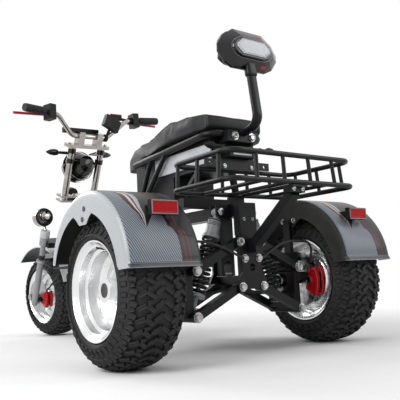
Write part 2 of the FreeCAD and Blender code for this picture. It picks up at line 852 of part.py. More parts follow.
def knuckles():
    """Uprights with two eyes between the arms' legs, a stub axle and its nut."""
    front = d.leg_front_y + d.arm_tube / 2 + d.seat_gap
    rear = d.leg_rear_y - d.arm_tube / 2 - d.seat_gap
    foot = d.lower_outer_z
    wide = d.knuckle_outer_x - d.knuckle_inner_x
    block = box("knuckle_block", wide, rear - front, d.knuckle_top_z - foot, at(d.knuckle_inner_x, front, foot))
    top_eye = rod("knuckle_top_eye", at(d.upper_outer_x, front, d.upper_outer_z),
                  at(d.upper_outer_x, rear, d.upper_outer_z), d.boss_radius)
    low_eye = rod("knuckle_low_eye", at(d.lower_outer_x, front, d.lower_outer_z),
                  at(d.lower_outer_x, rear, d.lower_outer_z), d.boss_radius)
    tip = d.track / 2 - d.axle_play
    axle = rod("stub_axle", at(d.knuckle_inner_x, 0, d.rear_axle_rise), at(tip, 0, d.rear_axle_rise),
               d.axle_radius)
    nut = rod("axle_nut", at(d.axle_nut_x, 0, d.rear_axle_rise), at(d.knuckle_outer_x, 0, d.rear_axle_rise),
              d.axle_nut_radius)
    trimmed = cut("knuckle_clear", block, brace_tool())
    pair("knuckles", fuse("knuckle", [trimmed, top_eye, low_eye, axle, nut]))


def brace_tool():
    """The room that the upper arm's brace needs at the knuckle."""
    x = d.upper_inner_x + (d.upper_outer_x - d.upper_inner_x) * UPPER_BRACE_SHARE
    z = d.upper_inner_z + (d.upper_outer_z - d.upper_inner_z) * UPPER_BRACE_SHARE
    low = d.leg_front_y - d.overrun
    return rod("brace_tool", at(x, low, z), at(x, d.leg_rear_y + d.overrun, z), d.brace_radius + d.seat_gap)


def shocks():
    """Slanted dampers from the top rail's ears down to the brace of the lower arm."""
    top = at(d.shock_top_x, d.shock_y, d.shock_top_z)
    x = d.lower_inner_x + (d.lower_outer_x - d.lower_inner_x) * LOWER_BRACE_SHARE
    z = d.lower_inner_z + (d.lower_outer_z - d.lower_inner_z) * LOWER_BRACE_SHARE
    brace = at(x, d.shock_y, z)
    run = top - brace
    along = Vec(run.x, run.y, run.z).normalize()

    def spot(share):
        return brace + run * share

    low = brace + along * number(d.brace_radius + d.seat_gap)
    cup, collar, body = SHOCK_SHARES["cup"], SHOCK_SHARES["collar"], SHOCK_SHARES["body"]
    rim_radius = d.spring_radius + d.spring_wire
    eye_half = Vec(0, number(d.shock_eye_half), 0)
    pieces = [rod("shock_body", spot(body[0]), spot(body[1]), d.shock_body_radius),
              rod("shock_stem", low, spot(body[0]), d.shock_rod_radius),
              rod("shock_neck", spot(body[1]), top, d.shock_rod_radius),
              rod("shock_cup", spot(cup[0]), spot(cup[1]), rim_radius),
              rod("shock_collar", spot(collar[0]), spot(collar[1]), rim_radius),
              rod("shock_eye", top - eye_half, top + eye_half, d.boss_radius)]
    pair("shocks", fuse("shock", pieces))
    spring(spot(cup[1]), spot(collar[0]), along)


def spring(low, high, along):
    """A coil spring as a swept helix between its two seats."""
    wire = number(d.spring_wire)
    gap = number(d.seat_gap)
    tall = low.distanceToPoint(high) - 2 * wire - 2 * gap
    helix = Part.makeHelix(tall / SPRING_TURNS, tall, number(d.spring_radius))
    ring = Part.Wire([Part.makeCircle(wire, Vec(number(d.spring_radius), 0, 0), Vec(0, 1, 0))])
    piece = feature("spring", Part.Wire(helix).makePipeShell([ring], True, True))
    turn = FreeCAD.Rotation(Vec(0, 0, 1), along)
    piece.Placement = FreeCAD.Placement(low + along * (wire + gap), turn)
    pair("shock_springs", piece)


REAR_SLOT_SHARES = (0.39, 0.12, 0.3)


def rear_calipers():
    """Brake calipers over the rear edge of each disc, carried by the knuckle."""
    disc_x = d.track / 2 - d.rear_disc_place - d.disc_thickness / 2
    slot_share, shift_share, lug_share = REAR_SLOT_SHARES
    wide, long, high = d.caliper_wide, d.caliper_long, d.caliper_high
    z = d.rear_axle_rise + d.overrun
    block = centred_box("caliper_block", wide, long, high, at(disc_x, d.caliper_y, z))
    slot = centred_box("caliper_slot", wide * slot_share, long, high + d.overrun,
                       at(disc_x, d.caliper_y - long * shift_share, z))
    lug = box("caliper_lug", disc_x - wide * slot_share - d.knuckle_outer_x, long * lug_share,
              high * lug_share, at(d.knuckle_outer_x, d.caliper_y - long / 2, z))
    pair("rear_calipers", fuse("caliper", [cut("caliper_open", block, slot), lug]))


# Frame

def rail_rear():
    """Where the rails meet the rear column."""
    return d.leg_rear_y + d.arm_tube / 2 + d.seat_gap - d.column_deep


def centre_frame():
    """Rails along the middle with the shocks' ears, the upright and the cross member."""
    rear = rail_rear()
    front = d.rail_front_y
    top = box("top_rail", d.rail_half * 2, rear - front, d.top_rail_deep, at(-d.rail_half, front, d.top_rail_z))
    ears = []
    high = d.top_rail_z + d.top_rail_deep - d.overrun
    low = d.shock_top_z - d.boss_radius
    step = d.shock_eye_half + d.seat_gap
    for word, y in (("rear", d.shock_y + step), ("front", d.shock_y - step - d.shock_ear)):
        ears.append(box("ear_" + word, d.shock_ear_reach * 2, d.shock_ear, high - low,
                        at(-d.shock_ear_reach, y, low)))
    low_rail = box("low_rail", d.rail_half * 2, rear - front, d.low_rail_deep,
                   at(-d.rail_half, front, d.low_rail_z))
    foot = d.low_rail_z
    seat = d.top_rail_z + d.top_rail_deep + d.cross_rise
    upright = box("upright", d.rail_half * 2, d.upright_deep, seat - foot,
                  at(-d.rail_half, d.rail_front_y - d.upright_deep - d.seat_gap, foot))
    cross = box("cross_member", d.cross_half * 2, d.cross_deep, d.cross_rise - d.seat_gap,
                at(-d.cross_half, d.cross_y, seat - d.cross_rise + d.seat_gap))
    rails = [fuse("top_rail_ears", [top] + ears), low_rail]
    node("centre_frame", group("centre_frame", rails + [upright, cross]))


def columns():
    """Box columns with a bolted pivot plate at the rear and at the front of the arms."""
    rear_face = d.leg_rear_y + d.arm_tube / 2 + d.seat_gap
    front_face = d.leg_front_y - d.arm_tube / 2 - d.seat_gap
    top = d.top_rail_z + d.top_rail_deep
    low_top = d.low_rail_z + d.low_rail_deep
    half, deep = d.column_half, d.column_deep
    rear_y = rear_face - deep + d.seat_gap
    column = box("column_tube", half * 2, deep - d.seat_gap, top - d.column_foot_z,
                 at(-half, rear_y, d.column_foot_z))
    head_low = d.plate_top_z + d.weld_bite
    head = box("column_head", d.column_head_half * 2, deep - d.seat_gap, top - head_low,
               at(-d.column_head_half, rear_y, head_low))
    plates = pivot_plate("rear_plate", rear_face + d.column_plate / 2)
    eye = rod("column_eye", at(0, rear_y - d.overrun, d.plate_eye_z),
              at(0, rear_face + d.column_plate + d.overrun, d.plate_eye_z), d.plate_eye_radius)
    rear = cut("rear_column_drilled", fuse("rear_column", [column, head, plates]), eye)
    tube = box("front_tube", half * 2, deep, d.top_rail_z - low_top - d.seat_gap * 2,
               at(-half, front_face, low_top + d.seat_gap))
    plate_body = front_plate(front_face - d.column_plate / 2)
    whole = fuse("front_column_whole", [tube, plate_body])
    front = cut("front_column", whole, fuse("front_column_tools", front_rooms(front_face)))
    node("suspension_columns", group("suspension_columns", [rear, front]))


def front_rooms(face):
    """The rails' room in the front plate, and the round-ended slot through its column."""
    tools = []
    gap = d.seat_gap
    near, far = face - d.column_plate - d.overrun, face + d.column_deep + d.overrun
    for word, z, deep in (("top", d.top_rail_z, d.top_rail_deep), ("low", d.low_rail_z, d.low_rail_deep)):
        tools.append(box("rail_room_" + word, d.rail_half * 2 + gap * 2, far - near, deep + gap * 2,
                         at(-d.rail_half - gap, near, z - gap)))
    half = d.front_slot_half
    low, high = d.front_slot_low_z + half, d.front_slot_top_z - half
    tools.append(box("slot_room", half * 2, far - near, high - low, at(-half, near, low)))
    for word, z in (("low", low), ("high", high)):
        tools.append(rod("slot_end_" + word, at(0, near, z), at(0, far, z), half))
    return tools


def front_plate(y):
    """The narrower plate before the arms, with an ear at each pivot."""
    waist, ear, reach = d.front_plate_half, d.front_ear_half, d.boss_radius
    right = [(ear, d.plate_foot_z), (ear, d.lower_inner_z + reach), (waist, d.plate_low_waist_z),
             (waist, d.upper_inner_z - reach * 2), (ear, d.upper_inner_z - reach), (ear, d.plate_top_z)]
    left = [(-u, v) for u, v in reversed(right)]
    return plate("front_plate", "XZ_Plane", right + left, d.column_plate, at(0, y, 0))


def pivot_plate(name, y):
    """A plate that carries the arm pivots, waisted, with a notch between its lower ears."""
    half, waist, lobe, bevel = d.plate_half, d.plate_waist, d.plate_lobe, d.plate_bevel
    low, high, notch = d.plate_foot_z, d.plate_top_z, d.plate_notch_half
    right = [(notch, d.plate_notch_z), (notch + d.plate_notch_z - low, low), (half, low),
             (half, d.plate_low_ear_z), (waist, d.plate_low_waist_z), (waist, high - lobe - bevel),
             (half, high - lobe), (half, high)]
    left = [(-u, v) for u, v in reversed(right)]
    return plate(name, "XZ_Plane", right + left, d.column_plate, at(0, y, 0))


def deck():
    """Two deck tubes joined at both ends, the battery between them and the floorboard."""
    rear = d.rail_front_y - d.upright_deep - d.seat_gap * 2
    front = d.deck_front_y
    size = d.deck_tube
    pieces = []
    for side, word in SIDES:
        pieces.append(box("deck_rail_" + word, size, rear - front, size,
                          at(d.deck_rail_x * side - size / 2, front, d.deck_z)))
    for word, y in (("rear", rear - size), ("front", front)):
        pieces.append(box("deck_cross_" + word, d.deck_rail_x * 2, size, size, at(-d.deck_rail_x, y, d.deck_z)))
    node("deck_frame", fuse("deck_frame", pieces))
    high = d.deck_z + size
    battery_y = rear - size - d.seat_gap - d.battery_long
    node("battery_case", box("battery_case", d.battery_half * 2, d.battery_long,
         high - d.seat_gap - d.battery_foot_z, at(-d.battery_half, battery_y, d.battery_foot_z)))
    node("floorboard", box("floorboard", d.floor_half * 2, d.floor_rear_y - d.floor_front_y, d.floor_thick,
         at(-d.floor_half, d.floor_front_y, high + d.seat_gap)))


def neck():
    """The head tube, and the tube from it down to the deck's front member."""
    bore = d.stem_radius + d.axle_play
    head = rod("head_tube", on_axis(d.head_low_s), on_axis(d.head_top_s), d.head_radius)
    middle = on_axis((d.head_low_s + d.head_top_s) / 2)
    foot = at(0, d.deck_front_y - d.neck_radius, d.deck_z + d.deck_tube / 2)
    down = rod("neck_tube", foot, middle, d.neck_radius)
    pad = box("neck_pad", d.neck_radius * 2, d.neck_radius * 2, d.deck_tube,
              at(-d.neck_radius, d.deck_front_y - d.neck_radius * 2 - d.seat_gap, d.deck_z))
    floor_room = box("floor_room", d.floor_half * 2, d.floor_rear_y - d.floor_front_y + d.overrun,
                     d.floor_thick + d.seat_gap * 2,
                     at(-d.floor_half, d.floor_front_y - d.overrun, d.deck_z + d.deck_tube))
    hole = rod("head_bore", on_axis(d.head_low_s - d.overrun), on_axis(d.head_top_s + d.overrun), bore)
    tools = fuse("neck_tools", [hole, floor_room])
    node("neck", cut("neck", fuse("neck_tubes", [head, down, pad]), tools))


# Seat and backrest

SEAT_SHARES = ((0.42, 0.0), (0.56, 0.04), (0.70, 0.16), (0.84, 0.30), (0.96, 0.50), (1.0, 0.70),
               (1.0, 0.90), (0.84, 1.0))
SEAT_SIDE_SHARES = ((1.0, 0.83), (0.977, 0.915), (0.845, 0.949), (0.66, 1.0), (0.584, 0.932), (0.493, 0.814),
                    (0.399, 0.754), (0.274, 0.771), (0.149, 0.712), (0.05, 0.542), (0.0, 0.288),
                    (0.017, 0.034), (0.066, 0.0), (0.229, 0.093), (0.614, 0.381), (0.965, 0.415), (1.0, 0.542))
STAY_SHARES = ((0.46, 0.12, 0.52), (0.24, 0.06, 0.50))
BASE_SHARES = ((0.40, 0.0), (0.80, 0.22), (1.0, 0.50), (1.0, 1.0))
SHELL_SHARES = ((1.0, 0.16), (1.0, 0.72), (0.78, 1.0), (-0.78, 1.0), (-1.0, 0.72), (-1.0, 0.16),
                (-0.70, 0.0), (0.70, 0.0))
INSERT_SHARES = ((1.0, 0.5), (0.66, 1.0), (-0.66, 1.0), (-1.0, 0.5), (-0.66, 0.0), (0.66, 0.0))
CUSHION_SHARE = 0.93


def outline(shares, half, front, rear):
    """A symmetric outline seen from above, nose first."""
    long = rear - front
    right = [(half * u, front + d.rear_axle_back + long * v) for u, v in shares]
    left = [(-u, v) for u, v in reversed(right)]
    return right + left


def padded(name, role, points, low, high):
    """A body padded up from a height."""
    body = doc.addObject("PartDesign::Body", name)
    sketch = closed_sketch(body, name + "_outline", role, points)
    pad = body.newObject("PartDesign::Pad", name + "_pad")
    pad.Profile = sketch
    bind(pad, "Length", high)
    body.Placement = FreeCAD.Placement(Vec(0, 0, number(low)), UPRIGHT)
    return body


def seat_parts():
    """The saddle, its base, the stepped box under it with its struts, and the side panels."""
    gap = d.seat_gap
    long = d.seat_rear_y - d.seat_nose_y
    side = [(d.rear_axle_back + d.seat_nose_y + long * u, d.seat_foot_z + d.seat_high * v)
            for u, v in SEAT_SIDE_SHARES]
    profile = plate("seat_profile", "YZ_Plane", side, d.seat_half * 2 + d.overrun, Vec(0, 0, 0))
    plan = padded("seat_plan", "XY_Plane", outline(SEAT_SHARES, d.seat_half, d.seat_nose_y, d.seat_rear_y),
                  d.seat_foot_z - d.overrun, d.seat_high + d.overrun * 2)
    whole = doc.addObject("Part::MultiCommon", "seat_whole")
    whole.Shapes = [profile, plan]
    box_top = d.box_top_z
    ring = bent_tube("seat_ring_room", ring_points(), d.ring_tube + gap, [number(d.ring_bend)] * 2)
    rooms = [ring, box("seat_box_room", d.box_half * 2 + d.side_panel_thick * 2 + gap * 4, d.seat_high + long,
                 box_top + gap * 2 + d.seat_base_high - d.seat_foot_z,
                 at(-d.box_half - d.side_panel_thick - gap * 2, d.box_front_y - gap, d.seat_foot_z))]
    node("seat", cut("seat", whole, fuse("seat_rooms", rooms)))
    node("seat_base", padded("seat_base", "XY_Plane",
         outline(BASE_SHARES, d.seat_base_half, d.box_front_y, d.box_rear_y),
         box_top + gap, d.seat_base_high - gap))
    foot_z = d.top_rail_z + d.top_rail_deep + d.cross_rise + gap
    front = d.rail_front_y - d.upright_deep
    wide = d.box_half * 2
    low = box("box_low", wide, d.box_step_y - front, d.box_step_z - foot_z + d.weld_bite,
              at(-d.box_half, front, foot_z))
    high = box("box_high", wide, d.box_rear_y - front, box_top - d.box_step_z,
               at(-d.box_half, front, d.box_step_z))
    struts = []
    for sign, word in SIDES:
        x = (d.cross_half - d.box_strut) * sign
        foot = at(x, d.cross_y + d.cross_deep / 2, foot_z + d.box_strut / 2)
        top = at((d.box_half - d.box_strut) * sign, d.box_strut_head_y, d.box_step_z + d.weld_bite)
        struts.append(bar("box_strut_" + word, foot, top, d.box_strut, d.box_strut))
    trim = box("box_strut_trim", d.cross_half * 2, long, d.cross_rise, at(-d.cross_half, front, foot_z - d.cross_rise))
    whole_box = fuse("seat_box_whole", [low, high] + struts)
    node("seat_box", cut("seat_box", whole_box, trim))
    panel = box("side_panel", d.side_panel_thick, d.box_rear_y - d.side_panel_front_y,
                box_top - d.side_panel_low_z, at(d.box_half + gap, d.side_panel_front_y, d.side_panel_low_z))
    pair("side_panels", panel)


def ring_points():
    """The corners of the tube that runs along both sides of the seat and round behind it."""
    x = d.ring_x
    spots = ((x, d.ring_nose_y, d.ring_nose_z), (x, d.ring_back_y, d.ring_back_z),
             (-x, d.ring_back_y, d.ring_back_z), (-x, d.ring_nose_y, d.ring_nose_z))
    return [at(*spot) for spot in spots]


def seat_ring():
    """A tube along both sides of the seat and round behind it, with its stays."""
    points = ring_points()
    bend = number(d.ring_bend)
    tube = bent_tube("seat_ring_tube", points, d.ring_tube, [bend] * (len(points) - 2))
    stays = []
    long = d.ring_back_y - d.ring_nose_y
    rise = d.ring_back_z - d.ring_nose_z
    inner = d.box_half + d.ring_stay_radius + d.side_panel_thick + d.seat_gap * 2
    for index, (top_share, low_share, drop_share) in enumerate(STAY_SHARES):
        start = at(d.ring_x, d.ring_nose_y + long * top_share, d.ring_nose_z + rise * top_share)
        drop = (d.box_top_z - d.top_rail_z) * drop_share
        end = at(inner, d.ring_nose_y + long * low_share, d.ring_nose_z - drop)
        stays.append(rod("ring_stay_%d" % index, start, end, d.ring_stay_radius))
        foot = at(d.box_half + d.seat_gap, d.ring_nose_y + long * low_share, d.ring_nose_z - drop)
        stays.append(rod("ring_foot_%d" % index, foot, end, d.ring_stay_radius))
    twins = [mirrored(piece.Name + "_twin", piece) for piece in stays]
    node("seat_ring", fuse("seat_ring", [tube] + stays + twins))


def backrest():
    """Clamp with its bent oval post, shell with an insert, and the cushion before it."""
    half = d.rest_clamp_half
    front = d.box_rear_y + d.seat_gap
    deep = d.rest_clamp_y + d.rest_clamp_deep - front
    low = d.cross_plate_top_z + d.rear_lamp_high + d.weld_bite
    top = box("rest_block", half * 2, deep, d.rest_clamp_top_z - d.box_top_z, at(-half, front, d.box_top_z))
    strap = box("rest_strap", half * 2, d.rest_strap_thick, d.rest_clamp_top_z - low, at(-half, front, low))
    root = d.rest_clamp_y + d.rest_clamp_deep
    points = [at(0, root - d.post_thick, d.post_root_z), at(0, d.post_back_y, d.post_back_z),
              at(0, d.post_top_y, d.post_top_z)]
    path = tube_path(points, [number(d.post_bend)])
    run = (points[1] - points[0]).normalize()
    oval = Part.Ellipse(Vec(0, 0, 0), number(d.post_half), number(d.post_thick)).toShape()
    oval.Placement = FreeCAD.Placement(points[0], FreeCAD.Rotation(Vec(0, 0, 1), run))
    post = feature("rest_post", path.makePipeShell([Part.Wire([oval])], True, False))
    spot = at(0, d.shell_y, d.shell_low_z)
    shell = plate("backrest_shell", "XZ_Plane", [(d.shell_half * u, d.shell_high * v) for u, v in SHELL_SHARES],
                  d.shell_thick, spot)
    room = box("rest_shell_room", d.shell_half * 2, d.shell_thick * 4, d.shell_high,
               at(-d.shell_half, d.shell_y - d.shell_thick * 2, d.shell_low_z - d.seat_gap))
    ring = bent_tube("rest_ring_room", ring_points(), d.ring_tube + d.seat_gap, [number(d.ring_bend)] * 2)
    whole = fuse("rest_whole", [top, strap, post])
    node("backrest_post", cut("backrest_post", whole, fuse("rest_rooms", [room, ring])))
    node("backrest_shell", shell)
    mid = d.shell_low_z + (d.shell_high - d.insert_high) / 2
    insert_y = d.shell_y + (d.shell_thick + d.insert_thick) / 2 + d.seat_gap
    node("backrest_insert", plate("backrest_insert", "XZ_Plane",
         [(d.insert_half * u, d.insert_high * v) for u, v in INSERT_SHARES], d.insert_thick,
         at(0, insert_y, mid)))
    cushion_y = d.shell_y - (d.shell_thick + d.cushion_thick) / 2 - d.seat_gap
    share = CUSHION_SHARE
    points = [(d.shell_half * u * share, d.shell_high * v * share) for u, v in SHELL_SHARES]
    node("backrest_cushion", plate("backrest_cushion", "XZ_Plane", points, d.cushion_thick,
         at(0, cushion_y, d.shell_low_z + d.shell_high * (1 - share) / 2)))


# Rear fenders and lamps

def fender(side, word):
    """A crown with two narrow side flanges and bolting tabs, open below."""
    inner, outer = d.fender_inner_x, d.fender_outer_x
    skin = d.fender_skin

    def drum(name, radius, low, high, y, z):
        return rod(name, at(low * side, y, z), at(high * side, y, z), radius)

    y, z = d.fender_centre_y, d.fender_centre_z
    whole = drum("fender_drum_" + word, d.fender_radius, inner, outer, y, z)
    hollow = drum("fender_hollow_" + word, d.fender_radius - skin, inner + skin, outer - skin, y, z)
    mouth = drum("fender_mouth_" + word, d.flange_radius, inner - skin, outer + skin, d.flange_centre_y,
                 d.flange_centre_z)
    shell = cut("fender_rolled_" + word, whole, fuse("fender_tools_" + word, [hollow, mouth]))
    long = d.fender_radius * 2
    fall = number(d.fender_front_z - d.fender_rear_z)
    tilt = math.atan2(fall, number(long))
    low = number(d.fender_front_z) + number(d.fender_radius) * math.tan(tilt)
    wide = outer + skin
    corner = at(-wide * (1 - side) / 2, y - long, low)
    keep = box("fender_keep_" + word, wide, long * 2, long, corner,
               FreeCAD.Rotation(Vec(1, 0, 0), -math.degrees(tilt)))
    crown = doc.addObject("Part::MultiCommon", "fender_crown_" + word)
    crown.Shapes = [shell, keep]
    tabs = []
    for tag, x in (("outer", outer - skin / 2), ("inner", inner + skin / 2)):
        points = [(d.tab_half_low, d.tab_low_z), (d.tab_half_top, d.tab_top_z), (-d.tab_half_top, d.tab_top_z),
                  (-d.tab_half_low, d.tab_low_z)]
        tabs.append(plate("fender_tab_" + tag + "_" + word, "YZ_Plane", points, skin, at(x * side, d.tab_y, 0)))
    node("rear_fender_" + word, fuse("rear_fender_" + word, [crown] + tabs))
    return drum("fender_room_" + word, d.fender_radius + d.seat_gap, inner, outer, y, z)


def rear_fenders():
    """Both fenders, the arms that hold them and the lamps behind them."""
    rooms = {word: fender(side, word) for side, word in SIDES}
    arm_x = d.fender_inner_x - d.seat_gap
    low = d.knuckle_top_z - d.fender_arm * 2
    half = d.fender_arm_half
    lying = box("fender_arm_low", arm_x - d.knuckle_outer_x - d.seat_gap, half * 2, d.fender_arm,
                at(d.knuckle_outer_x + d.seat_gap, d.tab_y - half, low))
    standing = box("fender_arm_up", d.fender_arm, half * 2, d.tab_top_z - d.fender_arm - low,
                   at(arm_x - d.fender_arm, d.tab_y - half, low))
    pair("fender_arms", fuse("fender_arm_left", [lying, standing]))
    half = d.tail_lamp_half
    face = d.tail_lamp_y
    block = box("tail_block", half * 2, d.tail_lamp_deep, d.tail_lamp_high,
                at(d.tail_lamp_x - half, face - d.tail_lamp_deep, d.tail_lamp_z - d.tail_lamp_high / 2))
    stay = box("tail_stay", d.tail_stay_half * 2, d.fender_radius / 2, d.tail_stay_high,
               at(d.tail_lamp_x - d.tail_stay_half, face - d.tail_lamp_deep - d.fender_radius / 2 + d.weld_bite,
                  d.tail_lamp_z - d.tail_stay_high / 2))
    trimmed = cut("tail_stay_trimmed", stay, rooms["left"])
    lamp = fuse("tail_lamp", [block, trimmed])
    edge = d.tail_lens_edge
    lens = box("tail_lens", (half - edge) * 2, d.tail_lens_thick, d.tail_lamp_high - edge * 2,
               at(d.tail_lamp_x - half + edge, face + d.seat_gap, d.tail_lamp_z - d.tail_lamp_high / 2 + edge))
    pair("tail_lamp_lenses", lens)
    doc.removeObject(rooms["right"].Name)
    return [lamp, mirrored("tail_lamp_right", lamp)]


BULB_SHARES = ((0.0, 0.5), (0.12, 0.86), (0.34, 1.0), (0.62, 0.86), (0.86, 0.5), (1.0, 0.16))


def bulb(name, start, tip, radius, y, z):
    """A teardrop signal body that points away from the middle."""
    long = tip - start
    points = [(0, 0)] + [(long * u, radius * r) for u, r in BULB_SHARES] + [(long, 0)]
    return revolved(name + "_bulb", points, at(start, y, z))


def rear_lamps(tail_lamps):
    """The cross plate behind the seat, the lamp over it and the two signals."""
    y = d.cross_plate_y
    thick = d.cross_plate_thick
    z0, z1 = d.cross_plate_low_z, d.cross_plate_top_z
    half, ear = d.cross_plate_half, d.cross_ear_half
    low, high = d.cross_ear_z - d.cross_ear_high / 2, d.cross_ear_z + d.cross_ear_high / 2
    right = [(half, z0), (half, low), (ear, low), (ear, high), (half, high), (half, z1)]
    left = [(-u, v) for u, v in reversed(right)]
    body = plate("cross_plate_body", "XZ_Plane", right + left, thick, at(0, y + thick / 2, 0))
    holes = []
    for side, word in SIDES:
        x = d.cross_ear_x * side
        holes.append(rod("ear_hole_" + word, at(x, y - d.overrun, d.cross_ear_z),
                         at(x, y + thick + d.overrun, d.cross_ear_z), d.cross_ear_hole))
    drilled = cut("cross_plate_drilled", body, fuse("ear_holes", holes))
    spacer_low = d.rim_ring_z + d.basket_tube + d.seat_gap
    back = box("cross_spacer", half, y - d.box_rear_y - d.seat_gap + d.overrun, high - spacer_low,
               at(-half / 2, d.box_rear_y + d.seat_gap, spacer_low))
    node("cross_plate", fuse("cross_plate", [drilled, back]))
    bar_lamp = box("rear_lamp", d.rear_lamp_half * 2, d.rear_lamp_y - d.box_rear_y - d.seat_gap,
                   d.rear_lamp_high, at(-d.rear_lamp_half, d.box_rear_y + d.seat_gap, d.rear_lamp_low_z))
    y, z = d.rear_signal_y, d.rear_signal_z
    root = d.rear_signal_root
    stay = d.rear_signal_stay
    foot = box("signal_foot", stay * 2, y + stay - d.box_rear_y - d.seat_gap, stay * 2,
               at(root - stay * 2, d.box_rear_y + d.seat_gap, z - stay))
    stem = rod("signal_stem", at(root - stay, y, z), at(d.rear_signal_start + d.overrun, y, z), stay)
    signal = fuse("rear_signal", [foot, stem, bulb("signal", d.rear_signal_start, d.rear_signal_tip,
                                                   d.rear_signal_radius, y, z)])
    both = [signal, mirrored("rear_signal_right", signal)]
    node("rear_lamp_bodies", group("rear_lamp_bodies", tail_lamps + both + [bar_lamp]))


# Basket

BASE_POST_SHARES = (0.247, 0.741)
SIDE_POST_SHARES = (0.12, 0.47, 0.82)
FLOOR_BAR_SHARES = (0.12, 0.52)


def basket():
    """Two round-cornered rings, straight posts between them and bars in the floor."""
    rooms = []
    for label, half, front, rear, z in (
            ("basket_rim", d.rim_ring_half, d.rim_ring_front_y, d.rim_ring_rear_y, d.rim_ring_z),
            ("basket_base", d.base_ring_half, d.base_ring_front_y, d.base_ring_rear_y, d.base_ring_z)):
        node(label, ring_tube(label, half, front, rear, z, d.basket_tube, d.ring_corner))
        rooms.append(ring_tube(label + "_room", half, front, rear, z, d.basket_tube + d.seat_gap,
                               d.ring_corner))
    spots = [(sign * share, row) for share in BASE_POST_SHARES for sign in (1, -1) for row in ("rear", "front")]
    posts = []
    top_half = d.rim_ring_half - d.ring_corner
    low_half = d.base_ring_half - d.ring_corner
    for index, (share, row) in enumerate(spots):
        top_y = d.rim_ring_rear_y if row == "rear" else d.rim_ring_front_y
        low_y = d.base_ring_rear_y if row == "rear" else d.base_ring_front_y
        low = at(low_half * share, low_y, d.base_ring_z)
        posts.append(rod("basket_post_%d" % index, low, at(top_half * share, top_y, d.rim_ring_z), d.basket_post))
    for index, share in enumerate(SIDE_POST_SHARES):
        for sign, word in SIDES:
            y_low = d.base_ring_front_y + (d.base_ring_rear_y - d.base_ring_front_y) * share
            y_high = d.rim_ring_front_y + (d.rim_ring_rear_y - d.rim_ring_front_y) * share
            low = at(d.base_ring_half * sign, y_low, d.base_ring_z)
            high = at(d.rim_ring_half * sign, y_high, d.rim_ring_z)
            posts.append(rod("basket_side_%d_%s" % (index, word), low, high, d.basket_post))
    for index, share in enumerate(FLOOR_BAR_SHARES):
        for sign, word in SIDES:
            x = d.base_ring_half * share * sign
            start = at(x, d.base_ring_front_y, d.base_ring_z)
            end = at(x, d.base_ring_rear_y, d.base_ring_z)
            posts.append(rod("basket_floor_%d_%s" % (index, word), start, end, d.basket_post))
    bars = cut("basket_bars", group("basket_bars_whole", posts), fuse("basket_rooms", rooms))
    node("basket_bars", bars)
    basket_strut()


def basket_strut():
    """The slanted stay from the column up to the basket's rear tube, and the front pad."""
    face = d.leg_rear_y + d.arm_tube / 2 + d.seat_gap
    low = at(0, d.strut_low_y, d.strut_low_z)
    high = at(0, d.strut_top_y, d.strut_top_z)
    tube = bar("strut_tube", low, high, d.strut_half * 2, d.strut_half * 2)
    top_z = d.base_ring_z - d.basket_tube - d.seat_gap
    head = box("strut_head", d.strut_plate_half * 2, d.strut_half * 2, d.strut_plate + d.strut_half,
               at(-d.strut_plate_half, d.strut_top_y - d.strut_half, top_z - d.strut_plate - d.strut_half))
    head_pad = box("strut_head_pad", d.strut_plate_half * 2, d.basket_tube * 2, d.strut_plate,
                   at(-d.strut_plate_half, d.base_ring_rear_y - d.basket_tube, top_z - d.strut_plate))
    foot = box("strut_foot", d.strut_half * 2, d.strut_foot, d.strut_foot,
               at(-d.strut_half, face + d.seat_gap, d.strut_low_z - d.strut_half))
    column = box("strut_column_room", d.plate_half * 2, d.strut_room, d.strut_low_z * 2,
                 at(-d.plate_half, face - d.strut_room + d.column_plate + d.seat_gap, 0))
    rear = cut("strut_rear", fuse("strut_whole", [tube, head, head_pad, foot]), column)
    top = d.top_rail_z + d.top_rail_deep + d.seat_gap
    pad = box("basket_pad", d.strut_plate_half * 2, d.basket_tube * 2, top_z - top,
              at(-d.strut_plate_half, d.base_ring_front_y - d.basket_tube, top))
    node("basket_strut", group("basket_strut", [rear, pad]))


# Steering

def slab(name, low_s, thick, half_x, low_ahead, high_ahead):
    """A plate square to the steering axis."""
    turn = rake_rotation()
    corner = on_axis(low_s, -half_x, low_ahead)
    deep = high_ahead - low_ahead
    fore = turn.multVec(Vec(0, number(deep), 0))
    return box(name, half_x * 2, deep, thick, corner - fore, turn)


